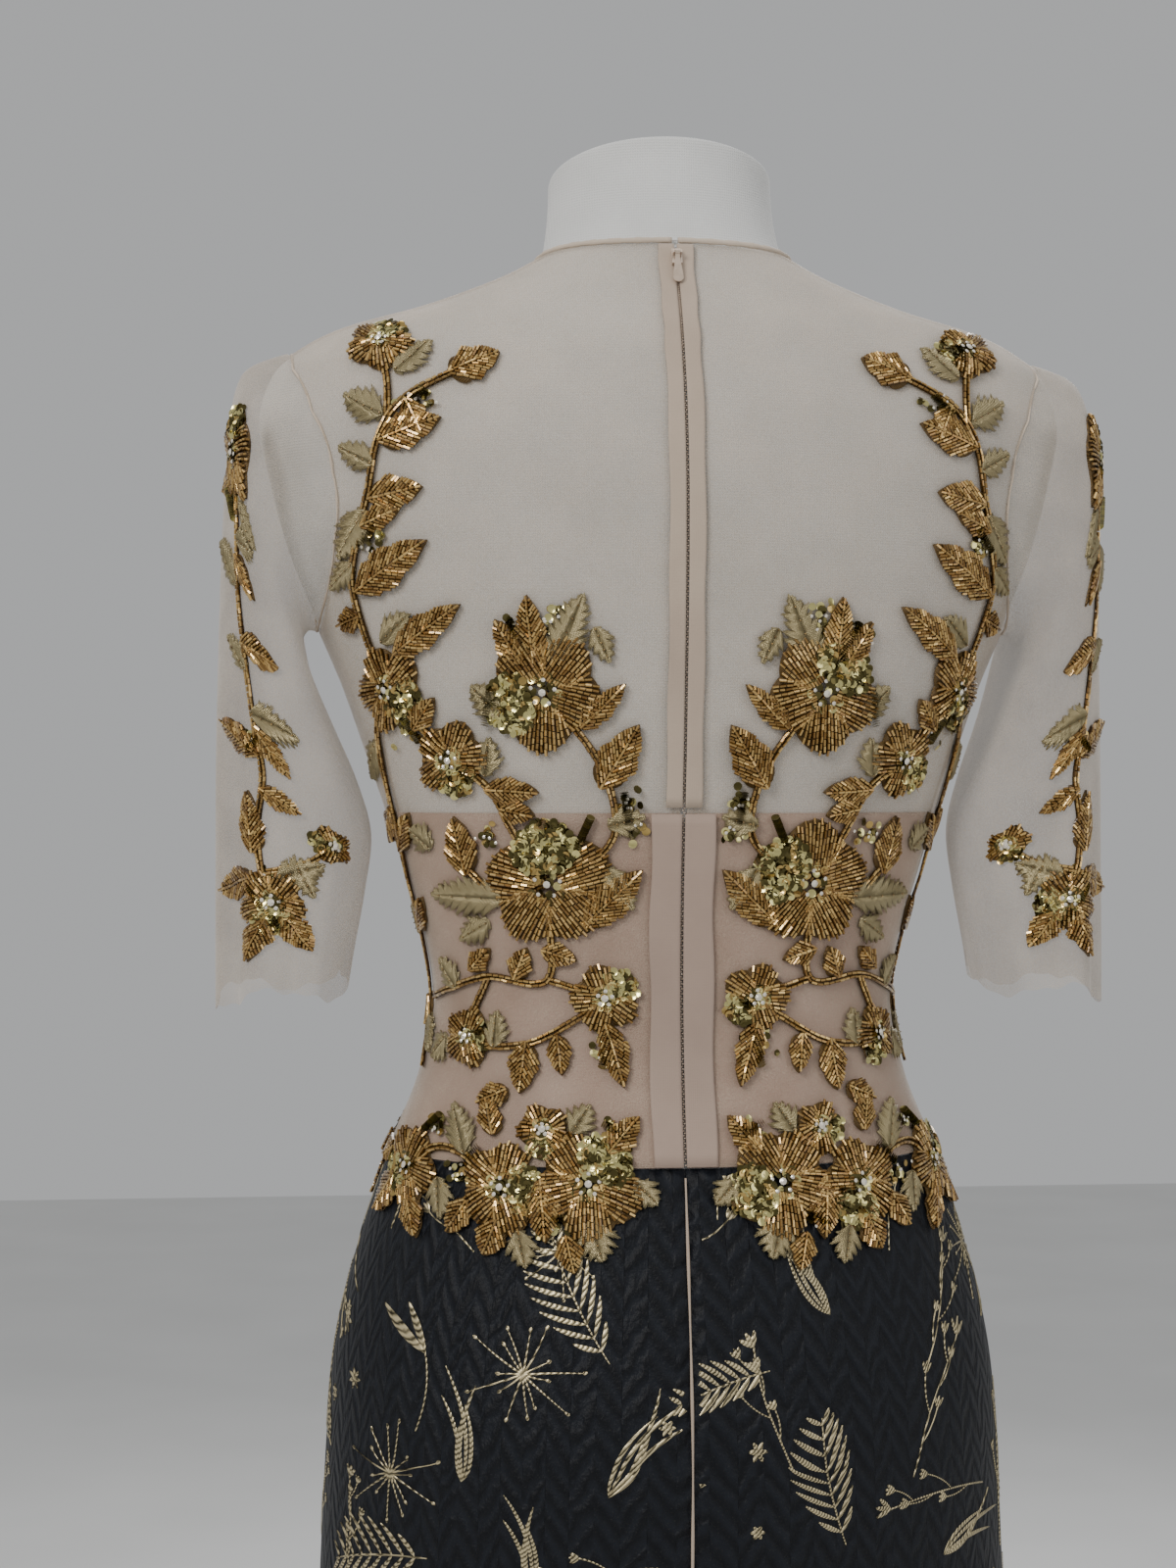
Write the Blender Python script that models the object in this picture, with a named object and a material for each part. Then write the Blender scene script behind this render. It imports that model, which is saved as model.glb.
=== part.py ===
"""A beaded evening gown on a limbless dress form.

Metres, +Z up. The gown's front faces -Y and its zipped back faces +Y. The wearer's left is +X.
The origin is the centre of the stand's underside, on the floor.

The form's skin is a stack of rings. Every layer of cloth on it is built from the same rings,
moved out along their normals, so the layers run parallel and never cross.
"""

import math
from collections import namedtuple

import bmesh
import bpy
import numpy as np
from mathutils.geometry import delaunay_2d_cdt

MM = 0.001

# Heights of the main lines
HEM = 0.015
SKIRT_SEAM = 0.969
LINING_TOP = 1.147
FORM_BOTTOM = 0.700

# Rings of the form's skin: half width, depth to the front and to the back, and how far
# the ring dips at the front, all at one height
Section = namedtuple("Section", "height side front back dip")
FORM_SECTIONS = (
    Section(FORM_BOTTOM, 0.1790, 0.1050, 0.1180, 0),
    Section(0.7410, 0.1805, 0.1070, 0.1210, 0),
    Section(0.8230, 0.1765, 0.1085, 0.1235, 0),
    Section(0.8710, 0.1715, 0.1060, 0.1180, 0),
    Section(0.9200, 0.1595, 0.1010, 0.1070, 0),
    Section(SKIRT_SEAM, 0.1430, 0.0955, 0.0945, 0),
    Section(1.0050, 0.1285, 0.0915, 0.0855, 0),
    Section(1.0450, 0.1200, 0.0890, 0.0800, 0),
    Section(1.0800, 0.1245, 0.0915, 0.0800, 0),
    Section(1.1130, 0.1345, 0.0965, 0.0830, 0),
    Section(LINING_TOP, 0.1450, 0.1030, 0.0880, 0),
    Section(1.1800, 0.1570, 0.1085, 0.0940, 0),
    Section(1.2150, 0.1700, 0.1120, 0.0990, 0),
    Section(1.2500, 0.1850, 0.1100, 0.1030, 0),
    Section(1.2850, 0.1990, 0.1030, 0.1050, 0),
    Section(1.3200, 0.2085, 0.0930, 0.1040, 0),
    Section(1.3520, 0.2145, 0.0820, 0.0975, 0),
    Section(1.3760, 0.2080, 0.0730, 0.0885, 0),
    Section(1.3880, 0.1950, 0.0685, 0.0830, 0),
    Section(1.3995, 0.1740, 0.0680, 0.0770, 0.008),
    Section(1.4115, 0.1340, 0.0672, 0.0695, 0.018),
    Section(1.4270, 0.0940, 0.0666, 0.0610, 0.033),
    Section(1.4395, 0.0700, 0.0655, 0.0550, 0.043),
)
SEAM_ROW = 5
LINING_ROW = 10
NECK_ROW = len(FORM_SECTIONS) - 1
SHOULDER_ROW = 16

# Below the hips the skirt hangs free, to a soft flare at the hem
SKIRT_FALL = (
    Section(HEM, 0.2540, 0.2080, 0.2440, 0),
    Section(0.0600, 0.2480, 0.1990, 0.2330, 0),
    Section(0.1300, 0.2350, 0.1800, 0.2100, 0),
    Section(0.2100, 0.2200, 0.1590, 0.1850, 0),
    Section(0.3000, 0.2060, 0.1400, 0.1620, 0),
    Section(0.4000, 0.1950, 0.1250, 0.1440, 0),
    Section(0.5200, 0.1880, 0.1160, 0.1320, 0),
    Section(0.6400, 0.1840, 0.1110, 0.1260, 0),
)

# Long soft folds of the skirt: where each runs, how far it spreads, how deep it is at the hem,
# and the height where it fades out
Fold = namedtuple("Fold", "degrees spread depth top")
SKIRT_FOLDS = (
    Fold(0, 13, -0.006, 0.62),
    Fold(27, 14, 0.013, 0.60),
    Fold(52, 12, -0.008, 0.52),
    Fold(76, 14, 0.014, 0.66),
    Fold(103, 13, -0.007, 0.50),
    Fold(127, 14, 0.012, 0.58),
    Fold(153, 13, -0.008, 0.46),
    Fold(180, 15, 0.009, 0.55),
    Fold(208, 13, -0.007, 0.50),
    Fold(233, 14, 0.013, 0.60),
    Fold(258, 13, -0.008, 0.54),
    Fold(283, 14, 0.014, 0.64),
    Fold(308, 12, -0.008, 0.48),
    Fold(333, 14, 0.012, 0.58),
)

COLUMNS = 28
HALF = COLUMNS // 2
SIDE_COLUMN = COLUMNS // 4
SQUARENESS = 2.2
BUST_OUT = 0.020
BUST_APART = 0.082
BUST_HEIGHT = 1.205
BUST_SPREAD = 0.040

# Distances from the form's skin, and the gap that parts neighbours
GAP = 0.3 * MM
LINING_IN = 0.4 * MM
LINING_OUT = 1.4 * MM
NET_WALL = 1.0 * MM
NET_OVER_FORM = 0.5 * MM
NET_OVER_LINING = 1.8 * MM
SKIRT_IN = 0.6 * MM
SKIRT_OUT = 2.2 * MM

# Centre-back zip
OPENING_HALF = 1.6 * MM
TAPE_HALF = 9.0 * MM
TAPE_WALL = 1.0 * MM
TAPE_IN = 0.8 * MM
TAPE_LIFT = 0.4 * MM
BAND_HALF = 16.0 * MM
COIL_HALF = 0.9 * MM

# The slider's own frame has its origin on the pin that the tab swings on
SLIDER_ROW = 21.3
PIN_ABOVE_TAPE = 4.7 * MM
PIN_RADIUS = 0.45 * MM
PIN_HALF = 2.0 * MM
EAR_IN = 1.5 * MM
EAR_OUT = 2.3 * MM
EAR_HALF_HIGH = 1.0 * MM
BLOCK_HALF = 2.6 * MM
BLOCK_BELOW = 5.5 * MM
BLOCK_ABOVE = 3.5 * MM
BLOCK_BACK = 4.4 * MM
BLOCK_FACE = 2.0 * MM
EYE_IN = 0.85 * MM
EYE_OUT = 1.65 * MM
EYE_HALF = 1.2 * MM
TAB_LENGTH = 17.0 * MM
TAB_HALF_WIDE = 2.7 * MM
TAB_HALF_WALL = 0.5 * MM
TAB_LEAN = 11

# Armhole: an oval hole seen from the side. The sleeve's head starts just inside it
ARMHOLE_HEIGHT = 1.3150
ARMHOLE_HALF_HEIGHT = 0.0725
ARMHOLE_HALF_DEPTH = 0.0590
ARMHOLE_CENTRE = 0.0040
SLEEVE_CLEAR = 0.5 * MM
SLEEVE_WALL = 1.0 * MM
SLEEVE_COLUMNS = 20

# Rings of a sleeve below its head: the outermost and innermost points of each, the depth of
# the tube, and how far the ring bows towards the body
Ring = namedtuple("Ring", "outer_x outer_z inner_x inner_z half_depth bow")
SLEEVE_RINGS = (
    Ring(0.2195, 1.3805, 0.1915, 1.2370, 0.0610, 0.0080),
    Ring(0.2262, 1.3700, 0.1895, 1.2290, 0.0620, 0.0030),
    Ring(0.2300, 1.3500, 0.1865, 1.2180, 0.0620, 0),
    Ring(0.2325, 1.3150, 0.1810, 1.2050, 0.0610, 0),
    Ring(0.2345, 1.2700, 0.1735, 1.1880, 0.0590, 0),
    Ring(0.2355, 1.2200, 0.1625, 1.1620, 0.0560, 0),
    Ring(0.2360, 1.1700, 0.1555, 1.1350, 0.0530, 0),
    Ring(0.2355, 1.1200, 0.1590, 1.1050, 0.0530, 0),
    Ring(0.2350, 1.0800, 0.1645, 1.0760, 0.0550, 0),
    Ring(0.2345, 1.0500, 0.1680, 1.0560, 0.0570, 0),
)
SLEEVE_FOLDS = 4
SLEEVE_FOLD_DEPTH = 0.0035
HEM_DROOP = 0.006

# Stand
BASE_RADIUS = 0.150
BASE_THICK = 0.012
POLE_RADIUS = 0.0125
COLLAR_RADIUS = 0.030
COLLAR_HIGH = 0.022
FLANGE_RADIUS = 0.060
FLANGE_THICK = 0.006

# Neck of the form
NECK_LEAN = 0.012
NECK_TOP = 1.4840
NECK_TOP_TILT = 0.014
NECK_TOP_SIDE = 0.0600
NECK_TOP_DEPTH = 0.0540

# Appliques stand on the net or the skirt
APPLIQUE_CLEAR = 0.5 * MM
APPLIQUE_EDGE = 1.0 * MM
APPLIQUE_CROWN = 2.8 * MM
STEM_WIDE = 3.6 * MM

# Merging of the motifs' outlines, in millimetres: corners this close are one, and a corner
# that bends the outline by less than the slack is left out
MERGE_WITHIN = 0.15
OUTLINE_SLACK = 0.45

# Plain colours: name, red, green, blue, roughness, metallic
Finish = namedtuple("Finish", "red green blue rough metal")
FINISHES = {
    "white_jersey": Finish(0.80, 0.80, 0.78, 0.85, 0),
    "nude_net": Finish(0.72, 0.60, 0.48, 0.80, 0),
    "rose_lining": Finish(0.62, 0.46, 0.38, 0.60, 0),
    "dark_brocade": Finish(0.012, 0.016, 0.026, 0.55, 0),
    "gold_beadwork": Finish(0.55, 0.33, 0.07, 0.30, 0.8),
    "nude_zip": Finish(0.60, 0.48, 0.38, 0.50, 0),
    "nude_lacquer": Finish(0.66, 0.55, 0.45, 0.35, 0.3),
    "black_steel": Finish(0.03, 0.03, 0.03, 0.40, 0.9),
}


def clear_scene():
    for old in list(bpy.data.objects):
        bpy.data.objects.remove(old)


def material(name):
    """The Principled material of that name, made on first use."""
    found = bpy.data.materials.get(name)
    if found:
        return found
    finish = FINISHES[name]
    made = bpy.data.materials.new(name)
    made.use_nodes = True
    shader = made.node_tree.nodes["Principled BSDF"]
    shader.inputs["Base Color"].default_value = (finish.red, finish.green, finish.blue, 1)
    shader.inputs["Roughness"].default_value = finish.rough
    shader.inputs["Metallic"].default_value = finish.metal
    return made


def add_object(name, points, faces, finish, smooth=True, origin=(0, 0, 0)):
    """One closed mesh as an object, its points given in the world and kept about its origin."""
    mesh = bpy.data.meshes.new(name)
    shift = np.array(origin, float)
    mesh.from_pydata([tuple(np.array(p) - shift) for p in points], [], faces)
    edit = bmesh.new()
    edit.from_mesh(mesh)
    bmesh.ops.recalc_face_normals(edit, faces=edit.faces)
    edit.to_mesh(mesh)
    edit.free()
    mesh.materials.append(material(finish))
    if smooth:
        mesh.shade_smooth()
        mesh.set_sharp_from_angle(angle=math.radians(50))
    made = bpy.data.objects.new(name, mesh)
    made.location = origin
    bpy.context.collection.objects.link(made)
    return made


class Surface:
    """Rings of points, lowest first. Column 0 runs up the middle of the side that faces out.

    A place on it is a row and a signed column, both real numbers, or a distance round from
    column 0 and a climb along the cloth. It lies on the flat triangles between the points, whose
    squares are cut the same way when column 0 is at the front.
    """

    def __init__(self, rings, climb, from_front=False):
        self.rings = np.array(rings)
        self.from_front = from_front
        self.climb = np.array(climb)
        self.columns = self.rings.shape[1]
        self.half = self.columns // 2
        round_step = np.roll(self.rings, -1, 1) - np.roll(self.rings, 1, 1)
        up_step = np.gradient(self.rings, axis=0)
        normals = np.cross(round_step, up_step)
        normals /= np.linalg.norm(normals, axis=2, keepdims=True)
        middle = self.rings.mean(axis=1, keepdims=True)
        if ((self.rings - middle) * normals).sum() < 0:
            normals = -normals
        self.normals = normals
        self.reach = {}
        for sign in (1, -1):
            order = [(sign * k) % self.columns for k in range(self.half + 1)]
            steps = np.linalg.norm(np.diff(self.rings[:, order], axis=1), axis=2)
            self.reach[sign] = np.concatenate(
                [np.zeros((len(self.rings), 1)), np.cumsum(steps, axis=1)], axis=1
            )

    def split(self, value, most):
        whole = min(int(math.floor(value)), most - 1)
        return max(whole, 0), value - max(whole, 0)

    def at(self, row, column, out):
        """The point at a row and a signed column, moved out from the skin."""
        sign = -1 if column < 0 else 1
        low, up = self.split(row, len(self.rings) - 1)
        near, along = self.split(abs(column), self.half)
        inner = (sign * near) % self.columns
        outer = (sign * (near + 1)) % self.columns

        def corner(r, c):
            return self.rings[r, c] + self.normals[r, c] * out

        start, end = corner(low, inner), corner(low + 1, outer)
        above, beside = corner(low + 1, inner), corner(low, outer)
        if self.from_front and up + along <= 1:
            return start * (1 - up - along) + beside * along + above * up
        if self.from_front:
            return end * (up + along - 1) + above * (1 - along) + beside * (1 - up)
        if up >= along:
            return start * (1 - up) + above * (up - along) + end * along
        return start * (1 - along) + beside * (along - up) + end * up

    def column_at(self, row, distance):
        sign = -1 if distance < 0 else 1
        low, up = self.split(row, len(self.rings) - 1)
        lengths = self.reach[sign][low] * (1 - up) + self.reach[sign][low + 1] * up
        return sign * float(np.interp(abs(distance), lengths, range(self.half + 1)))

    def row_at(self, climb):
        return float(np.interp(climb, self.climb, range(len(self.climb))))

    def spot(self, across, climb, skin, out=0):
        """The point at a distance round and a climb, moved out from a layer over the skin."""
        row = self.row_at(climb)
        return self.at(row, self.column_at(row, across), skin(row) + out)

    def side_length(self, row):
        low, up = self.split(row, len(self.rings) - 1)
        return self.reach[1][low][SIDE_COLUMN] * (1 - up) + self.reach[1][low + 1][SIDE_COLUMN] * up


def powered(value, power):
    return math.copysign(abs(value) ** power, value)


def bust_swell(x, z):
    reach = ((abs(x) - BUST_APART) ** 2 + (z - BUST_HEIGHT) ** 2) / (2 * BUST_SPREAD**2)
    return BUST_OUT * math.exp(-reach)


def ring_of(section, wave=None):
    """The points of one ring, from the centre back towards the wearer's left and round."""
    points = []
    for column in range(COLUMNS):
        angle = 2 * math.pi * column / COLUMNS
        grow = 1 + (wave(angle, section) if wave else 0)
        depth = section.back if math.cos(angle) > 0 else section.front
        x = section.side * grow * powered(math.sin(angle), 2 / SQUARENESS)
        y = depth * grow * powered(math.cos(angle), 2 / SQUARENESS)
        facing = (1 - math.cos(angle)) / 2
        if math.cos(angle) < 0:
            y -= bust_swell(x, section.height) * abs(math.cos(angle)) ** 0.5
        points.append((x, y, section.height - section.dip * facing**3))
    return points


def form_surface():
    rings = np.array([ring_of(section) for section in FORM_SECTIONS])
    climb = [section.height for section in FORM_SECTIONS]
    slant_column = SIDE_COLUMN // 2
    for row in range(SHOULDER_ROW + 1, len(climb)):
        step = np.linalg.norm(rings[row, slant_column] - rings[row - 1, slant_column])
        climb[row] = climb[row - 1] + float(step)
    return Surface(rings, climb)


def fold_wave(angle, section):
    """How much wider than plain the falling skirt is in this direction, as a share."""
    wave = 0
    for fold in SKIRT_FOLDS:
        away = (math.degrees(angle) - fold.degrees + 180) % 360 - 180
        fall = max(0, (fold.top - section.height) / (fold.top - HEM))
        wave += fold.depth * fall**1.3 * math.exp(-((away / fold.spread) ** 2))
    return wave / section.side


def skirt_surface():
    top = FORM_SECTIONS[SEAM_ROW]._replace(height=SKIRT_SEAM - 0.5 * MM)
    sections = SKIRT_FALL + FORM_SECTIONS[1:SEAM_ROW] + (top,)
    rings = [ring_of(section, fold_wave) for section in sections]
    return Surface(rings, [section.height for section in sections])


def side_of_form(y, z):
    """How far out the form's skin is at this depth and height, between two rings."""
    heights = [section.height for section in FORM_SECTIONS]
    side = np.interp(z, heights, [section.side for section in FORM_SECTIONS])
    depths = [section.back if y > 0 else section.front for section in FORM_SECTIONS]
    share = min(1, abs(y) / np.interp(z, heights, depths))
    return float(side * (1 - share**SQUARENESS) ** (1 / SQUARENESS))


def sleeve_surface():
    """The left sleeve's outer skin, hem first. Column 0 runs down its outer side."""
    angles = [2 * math.pi * column / SLEEVE_COLUMNS for column in range(SLEEVE_COLUMNS)]
    rings = []
    for proud in (7 * MM, 3 * MM):
        head = []
        for angle in angles:
            y = ARMHOLE_CENTRE + ARMHOLE_HALF_DEPTH * math.sin(angle)
            z = ARMHOLE_HEIGHT + ARMHOLE_HALF_HEIGHT * math.cos(angle)
            head.append((side_of_form(y, z) + proud, y, z))
        rings.append(head)
    lowest = SLEEVE_RINGS[-1].outer_z
    for ring in SLEEVE_RINGS:
        fall = (SLEEVE_RINGS[0].outer_z - ring.outer_z) / (SLEEVE_RINGS[0].outer_z - lowest)
        points = []
        for angle in angles:
            fold = 1 + SLEEVE_FOLD_DEPTH * fall * math.cos(SLEEVE_FOLDS * angle) / ring.half_depth
            across, deep = math.cos(angle) * fold, math.sin(angle) * fold
            x = (ring.outer_x + ring.inner_x) / 2 + across * (ring.outer_x - ring.inner_x) / 2
            z = (ring.outer_z + ring.inner_z) / 2 + across * (ring.outer_z - ring.inner_z) / 2
            droop = HEM_DROOP * fall**6 * math.sin(3 * angle + 0.6)
            x -= ring.bow * math.sin(angle) ** 2
            points.append((x, ARMHOLE_CENTRE + ring.half_depth * deep, z - droop))
        rings.insert(0, points)
    # The two head rings are now the last, the one farther out first
    climb = [lowest]
    for low, high in zip(rings, rings[1:]):
        climb.append(climb[-1] + math.dist(low[0], high[0]))
    return Surface(rings, climb)


def grid_faces(rows, columns, across_first):
    """Triangles of a grid of points, each square cut along the surface's own diagonal."""
    faces = []
    for r in range(rows - 1):
        for k in range(columns - 1):
            a, b = r * columns + k, r * columns + k + 1
            c, d = a + columns, b + columns
            faces += [(a, b, d), (a, d, c)] if across_first[k] else [(a, b, c), (b, d, c)]
    return faces


def wall(surface, rows, columns, inner, outer):
    """A panel of cloth: a sheet between two distances from the skin, closed at its edges.

    A column is a number, or a function of the row. The distances are functions of the row.
    """
    places = [[c(row) if callable(c) else c for c in columns] for row in rows]
    points = []
    for distance in (inner, outer):
        for row, line in zip(rows, places):
            points += [surface.at(row, column, distance(row)) for column in line]
    across, high = len(columns), len(rows)
    middle = places[high // 2]
    growing = [abs(middle[k + 1]) > abs(middle[k]) for k in range(across - 1)]
    sheet = grid_faces(high, across, growing)
    layer = across * high
    faces = [tuple(reversed(face)) for face in sheet]
    faces += [tuple(index + layer for index in face) for face in sheet]
    rim = [k for k in range(across)]
    rim += [r * across + across - 1 for r in range(1, high)]
    rim += [(high - 1) * across + k for k in range(across - 2, -1, -1)]
    rim += [r * across for r in range(high - 2, 0, -1)]
    for start, end in zip(rim, rim[1:] + rim[:1]):
        faces += [(start, end, end + layer), (start, end + layer, start + layer)]
    return points, faces


def tube_wall(surface, rows, inner, outer):
    """A sleeve: rings of two layers joined at both open ends."""
    across = surface.columns
    points = []
    for distance in (inner, outer):
        for row in rows:
            for column in range(across):
                signed = column if column <= surface.half else column - across
                points.append(surface.at(row, signed, distance))
    layer = across * len(rows)
    faces = []
    for r in range(len(rows) - 1):
        for k in range(across):
            a, b = r * across + k, r * across + (k + 1) % across
            c, d = a + across, b + across
            pair = [(a, b, d), (a, d, c)] if k < surface.half else [(a, b, c), (b, d, c)]
            faces += [tuple(reversed(face)) for face in pair]
            faces += [tuple(index + layer for index in face) for face in pair]
    for start in (0, layer - across):
        for k in range(across):
            a, b = start + k, start + (k + 1) % across
            faces += [(a, b, b + layer), (a, b + layer, a + layer)]
    return points, faces


def rod_along(centres, radius, sides, upward):
    """A round strip with flat ends along a line of points."""
    centres = [np.array(c) for c in centres]
    points = []
    for index, centre in enumerate(centres):
        ahead = centres[min(index + 1, len(centres) - 1)] - centres[max(index - 1, 0)]
        ahead /= np.linalg.norm(ahead)
        side = np.cross(ahead, upward[index])
        side /= np.linalg.norm(side)
        lift = np.cross(side, ahead)
        for k in range(sides):
            angle = 2 * math.pi * k / sides
            points.append(centre + radius * (math.cos(angle) * side + math.sin(angle) * lift))
    faces = [tuple(range(sides)), tuple(range(len(points) - sides, len(points)))]
    for index in range(len(centres) - 1):
        for k in range(sides):
            a, b = index * sides + k, index * sides + (k + 1) % sides
            faces.append((a, b, b + sides, a + sides))
    return points, faces


def stacked_rings(rings, bottom, top):
    """A closed solid through rings of points, with a point at the middle of each end."""
    count = len(rings[0])
    points = [tuple(bottom)] + [tuple(p) for ring in rings for p in ring] + [tuple(top)]
    faces = []
    for k in range(count):
        after = (k + 1) % count
        faces.append((0, 1 + after, 1 + k))
        last = 1 + count * (len(rings) - 1)
        faces.append((len(points) - 1, last + k, last + after))
        for index in range(len(rings) - 1):
            a, b = 1 + count * index + k, 1 + count * index + after
            c, d = a + count, b + count
            faces += [(a, b, d), (a, d, c)] if k < count // 2 else [(a, b, c), (b, d, c)]
    return points, faces


def turned(profile, sides):
    """A solid of revolution about Z from (radius, height) pairs, lowest first."""
    rings = [
        [
            (radius * math.cos(2 * math.pi * k / sides), radius * math.sin(2 * math.pi * k / sides), z)
            for k in range(sides)
        ]
        for radius, z in profile
    ]
    return stacked_rings(rings, (0, 0, profile[0][1]), (0, 0, profile[-1][1]))


def mirrored(points):
    return [(-p[0], p[1], p[2]) for p in points]


def add_pair(name, made, finish):
    """The wearer's left piece and its mirror image."""
    points, faces = made
    add_object(f"{name}_left", points, faces, finish)
    add_object(f"{name}_right", mirrored(points), faces, finish)


def net_in(row):
    """The net lies on the form above the lining, and on the lining below."""
    return float(np.interp(row, (LINING_ROW, LINING_ROW + 2), (NET_OVER_LINING, NET_OVER_FORM)))


def net_out(row):
    return net_in(row) + NET_WALL


def add_stand():
    base = ((BASE_RADIUS - 0.002, 0), (BASE_RADIUS, 0.003), (BASE_RADIUS - 0.001, 0.009),
            (BASE_RADIUS - 0.006, BASE_THICK))
    add_object("stand_base", *turned(base, 48), "black_steel")
    pole_top = FORM_BOTTOM - GAP - FLANGE_THICK - GAP
    foot = BASE_THICK + GAP
    socket = ((COLLAR_RADIUS, foot), (COLLAR_RADIUS, foot + 0.006),
              (COLLAR_RADIUS - 0.012, foot + COLLAR_HIGH))
    add_object("stand_socket", *turned(socket, 24), "black_steel")
    pole = ((POLE_RADIUS, foot + COLLAR_HIGH + GAP), (POLE_RADIUS, pole_top))
    add_object("stand_pole", *turned(pole, 20), "black_steel")
    flange = ((FLANGE_RADIUS, pole_top + GAP), (FLANGE_RADIUS, FORM_BOTTOM - GAP))
    add_object("stand_flange", *turned(flange, 24), "black_steel")


def add_form(body):
    rings = [list(map(tuple, ring)) for ring in body.rings]
    top_middle = (0, 0, float(body.rings[-1][:, 2].mean()))
    made = stacked_rings(rings, (0, 0, FORM_BOTTOM), top_middle)
    add_object("form_torso", *made, "white_jersey")

    base_ring = body.rings[-1]
    neck_rings = []
    for share, height in ((0, 0), (0.30, 0.12), (0.58, 0.30), (0.80, 0.52), (0.94, 0.76), (1, 1)):
        ring = []
        for column in range(COLUMNS):
            angle = 2 * math.pi * column / COLUMNS
            low = top_middle + (base_ring[column] - top_middle) * 0.965 + (0, 0, GAP)
            deep = math.cos(angle)
            high = np.array((NECK_TOP_SIDE * math.sin(angle), NECK_TOP_DEPTH * deep - NECK_LEAN,
                             NECK_TOP + NECK_TOP_TILT * deep))
            point = low + (high - low) * (share, share, height)
            ring.append(tuple(point))
        neck_rings.append(ring)
    rim = np.array(neck_rings[-1])
    middle = np.array((0, -NECK_LEAN, NECK_TOP))
    neck_rings.append([tuple(p) for p in middle + (rim - middle) * 0.93 + (0, 0, 1.8 * MM)])
    bottom = (0, 0, top_middle[2] + GAP)
    add_object("form_neck", *stacked_rings(neck_rings, bottom, middle + (0, 0, 3 * MM)), "white_jersey")


def armhole_cutter():
    """An oval prism through one armhole, hidden from the render."""
    ends = []
    for x in (0.100, 0.300):
        ring = []
        for k in range(32):
            angle = 2 * math.pi * k / 32
            ring.append((x,
                         ARMHOLE_CENTRE + (ARMHOLE_HALF_DEPTH + SLEEVE_CLEAR) * math.sin(angle),
                         ARMHOLE_HEIGHT + (ARMHOLE_HALF_HEIGHT + SLEEVE_CLEAR) * math.cos(angle)))
        ends.append(ring)
    low = (0.100, ARMHOLE_CENTRE, ARMHOLE_HEIGHT)
    high = (0.300, ARMHOLE_CENTRE, ARMHOLE_HEIGHT)
    made = stacked_rings(ends, low, high)
    cutters = []
    for name, points in (("cut_left", made[0]), ("cut_right", mirrored(made[0]))):
        cutter = add_object(name, points, made[1], "nude_net", smooth=False)
        cutter.hide_render = True
        cutter.display_type = "WIRE"
        cutters.append(cutter)
    return cutters


def cut(piece, cutter):
    boolean = piece.modifiers.new("armhole", "BOOLEAN")
    boolean.operation = "DIFFERENCE"
    boolean.solver = "EXACT"
    boolean.object = cutter


def back_columns(body, edge):
    side = lambda row: body.column_at(row, body.side_length(row) - GAP / 2)
    return [lambda row: body.column_at(row, edge), *range(1, SIDE_COLUMN), side]


def front_columns(body):
    side = lambda row: body.column_at(row, body.side_length(row) + GAP / 2)
    left = [side, *range(SIDE_COLUMN + 1, HALF + 1)]
    return left + [-c for c in range(HALF - 1, SIDE_COLUMN, -1)] + [lambda row: -side(row)]


def add_bodice(body):
    rows = list(range(SEAM_ROW, NECK_ROW + 1))
    front = wall(body, rows, front_columns(body), net_in, net_out)
    back = wall(body, rows, back_columns(body, OPENING_HALF), net_in, net_out)
    left_cutter, right_cutter = armhole_cutter()
    front_piece = add_object("bodice_front", *front, "nude_net")
    cut(front_piece, left_cutter)
    cut(front_piece, right_cutter)
    cut(add_object("bodice_back_left", *back, "nude_net"), left_cutter)
    cut(add_object("bodice_back_right", mirrored(back[0]), back[1], "nude_net"), right_cutter)


def add_lining(body):
    rows = list(range(SEAM_ROW, LINING_ROW + 1))
    low, high = (lambda row: LINING_IN), (lambda row: LINING_OUT)
    add_object("lining_front", *wall(body, rows, front_columns(body), low, high), "rose_lining")
    add_pair("lining_back", wall(body, rows, back_columns(body, OPENING_HALF), low, high), "rose_lining")


def add_skirt(skirt):
    rows = list(range(len(skirt.climb)))
    low, high = (lambda row: SKIRT_IN), (lambda row: SKIRT_OUT)
    add_object("skirt_front", *wall(skirt, rows, front_columns(skirt), low, high), "dark_brocade")
    add_pair("skirt_back", wall(skirt, rows, back_columns(skirt, GAP / 2), low, high), "dark_brocade")


def add_sleeves(sleeve):
    rows = list(range(len(sleeve.climb)))
    add_pair("sleeve", tube_wall(sleeve, rows, -SLEEVE_WALL, 0), "nude_net")


def add_binding(body):
    """Rolled net along the neckline, just above the panels' edge."""
    radius = 1.3 * MM

    def strip(columns):
        centres, up = [], []
        for column in columns:
            place = column(NECK_ROW) if callable(column) else column
            point = body.at(NECK_ROW, place, net_in(NECK_ROW) + 1.4 * MM)
            climb = body.at(NECK_ROW, place, 0) - body.at(NECK_ROW - 0.5, place, 0)
            climb /= np.linalg.norm(climb)
            centres.append(point + climb * (radius + 0.8 * MM))
            up.append(climb)
        return rod_along(centres, radius, 6, up)

    add_object("binding_front", *strip(front_columns(body)), "nude_net")
    add_pair("binding_back", strip(back_columns(body, OPENING_HALF)), "nude_net")


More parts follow.
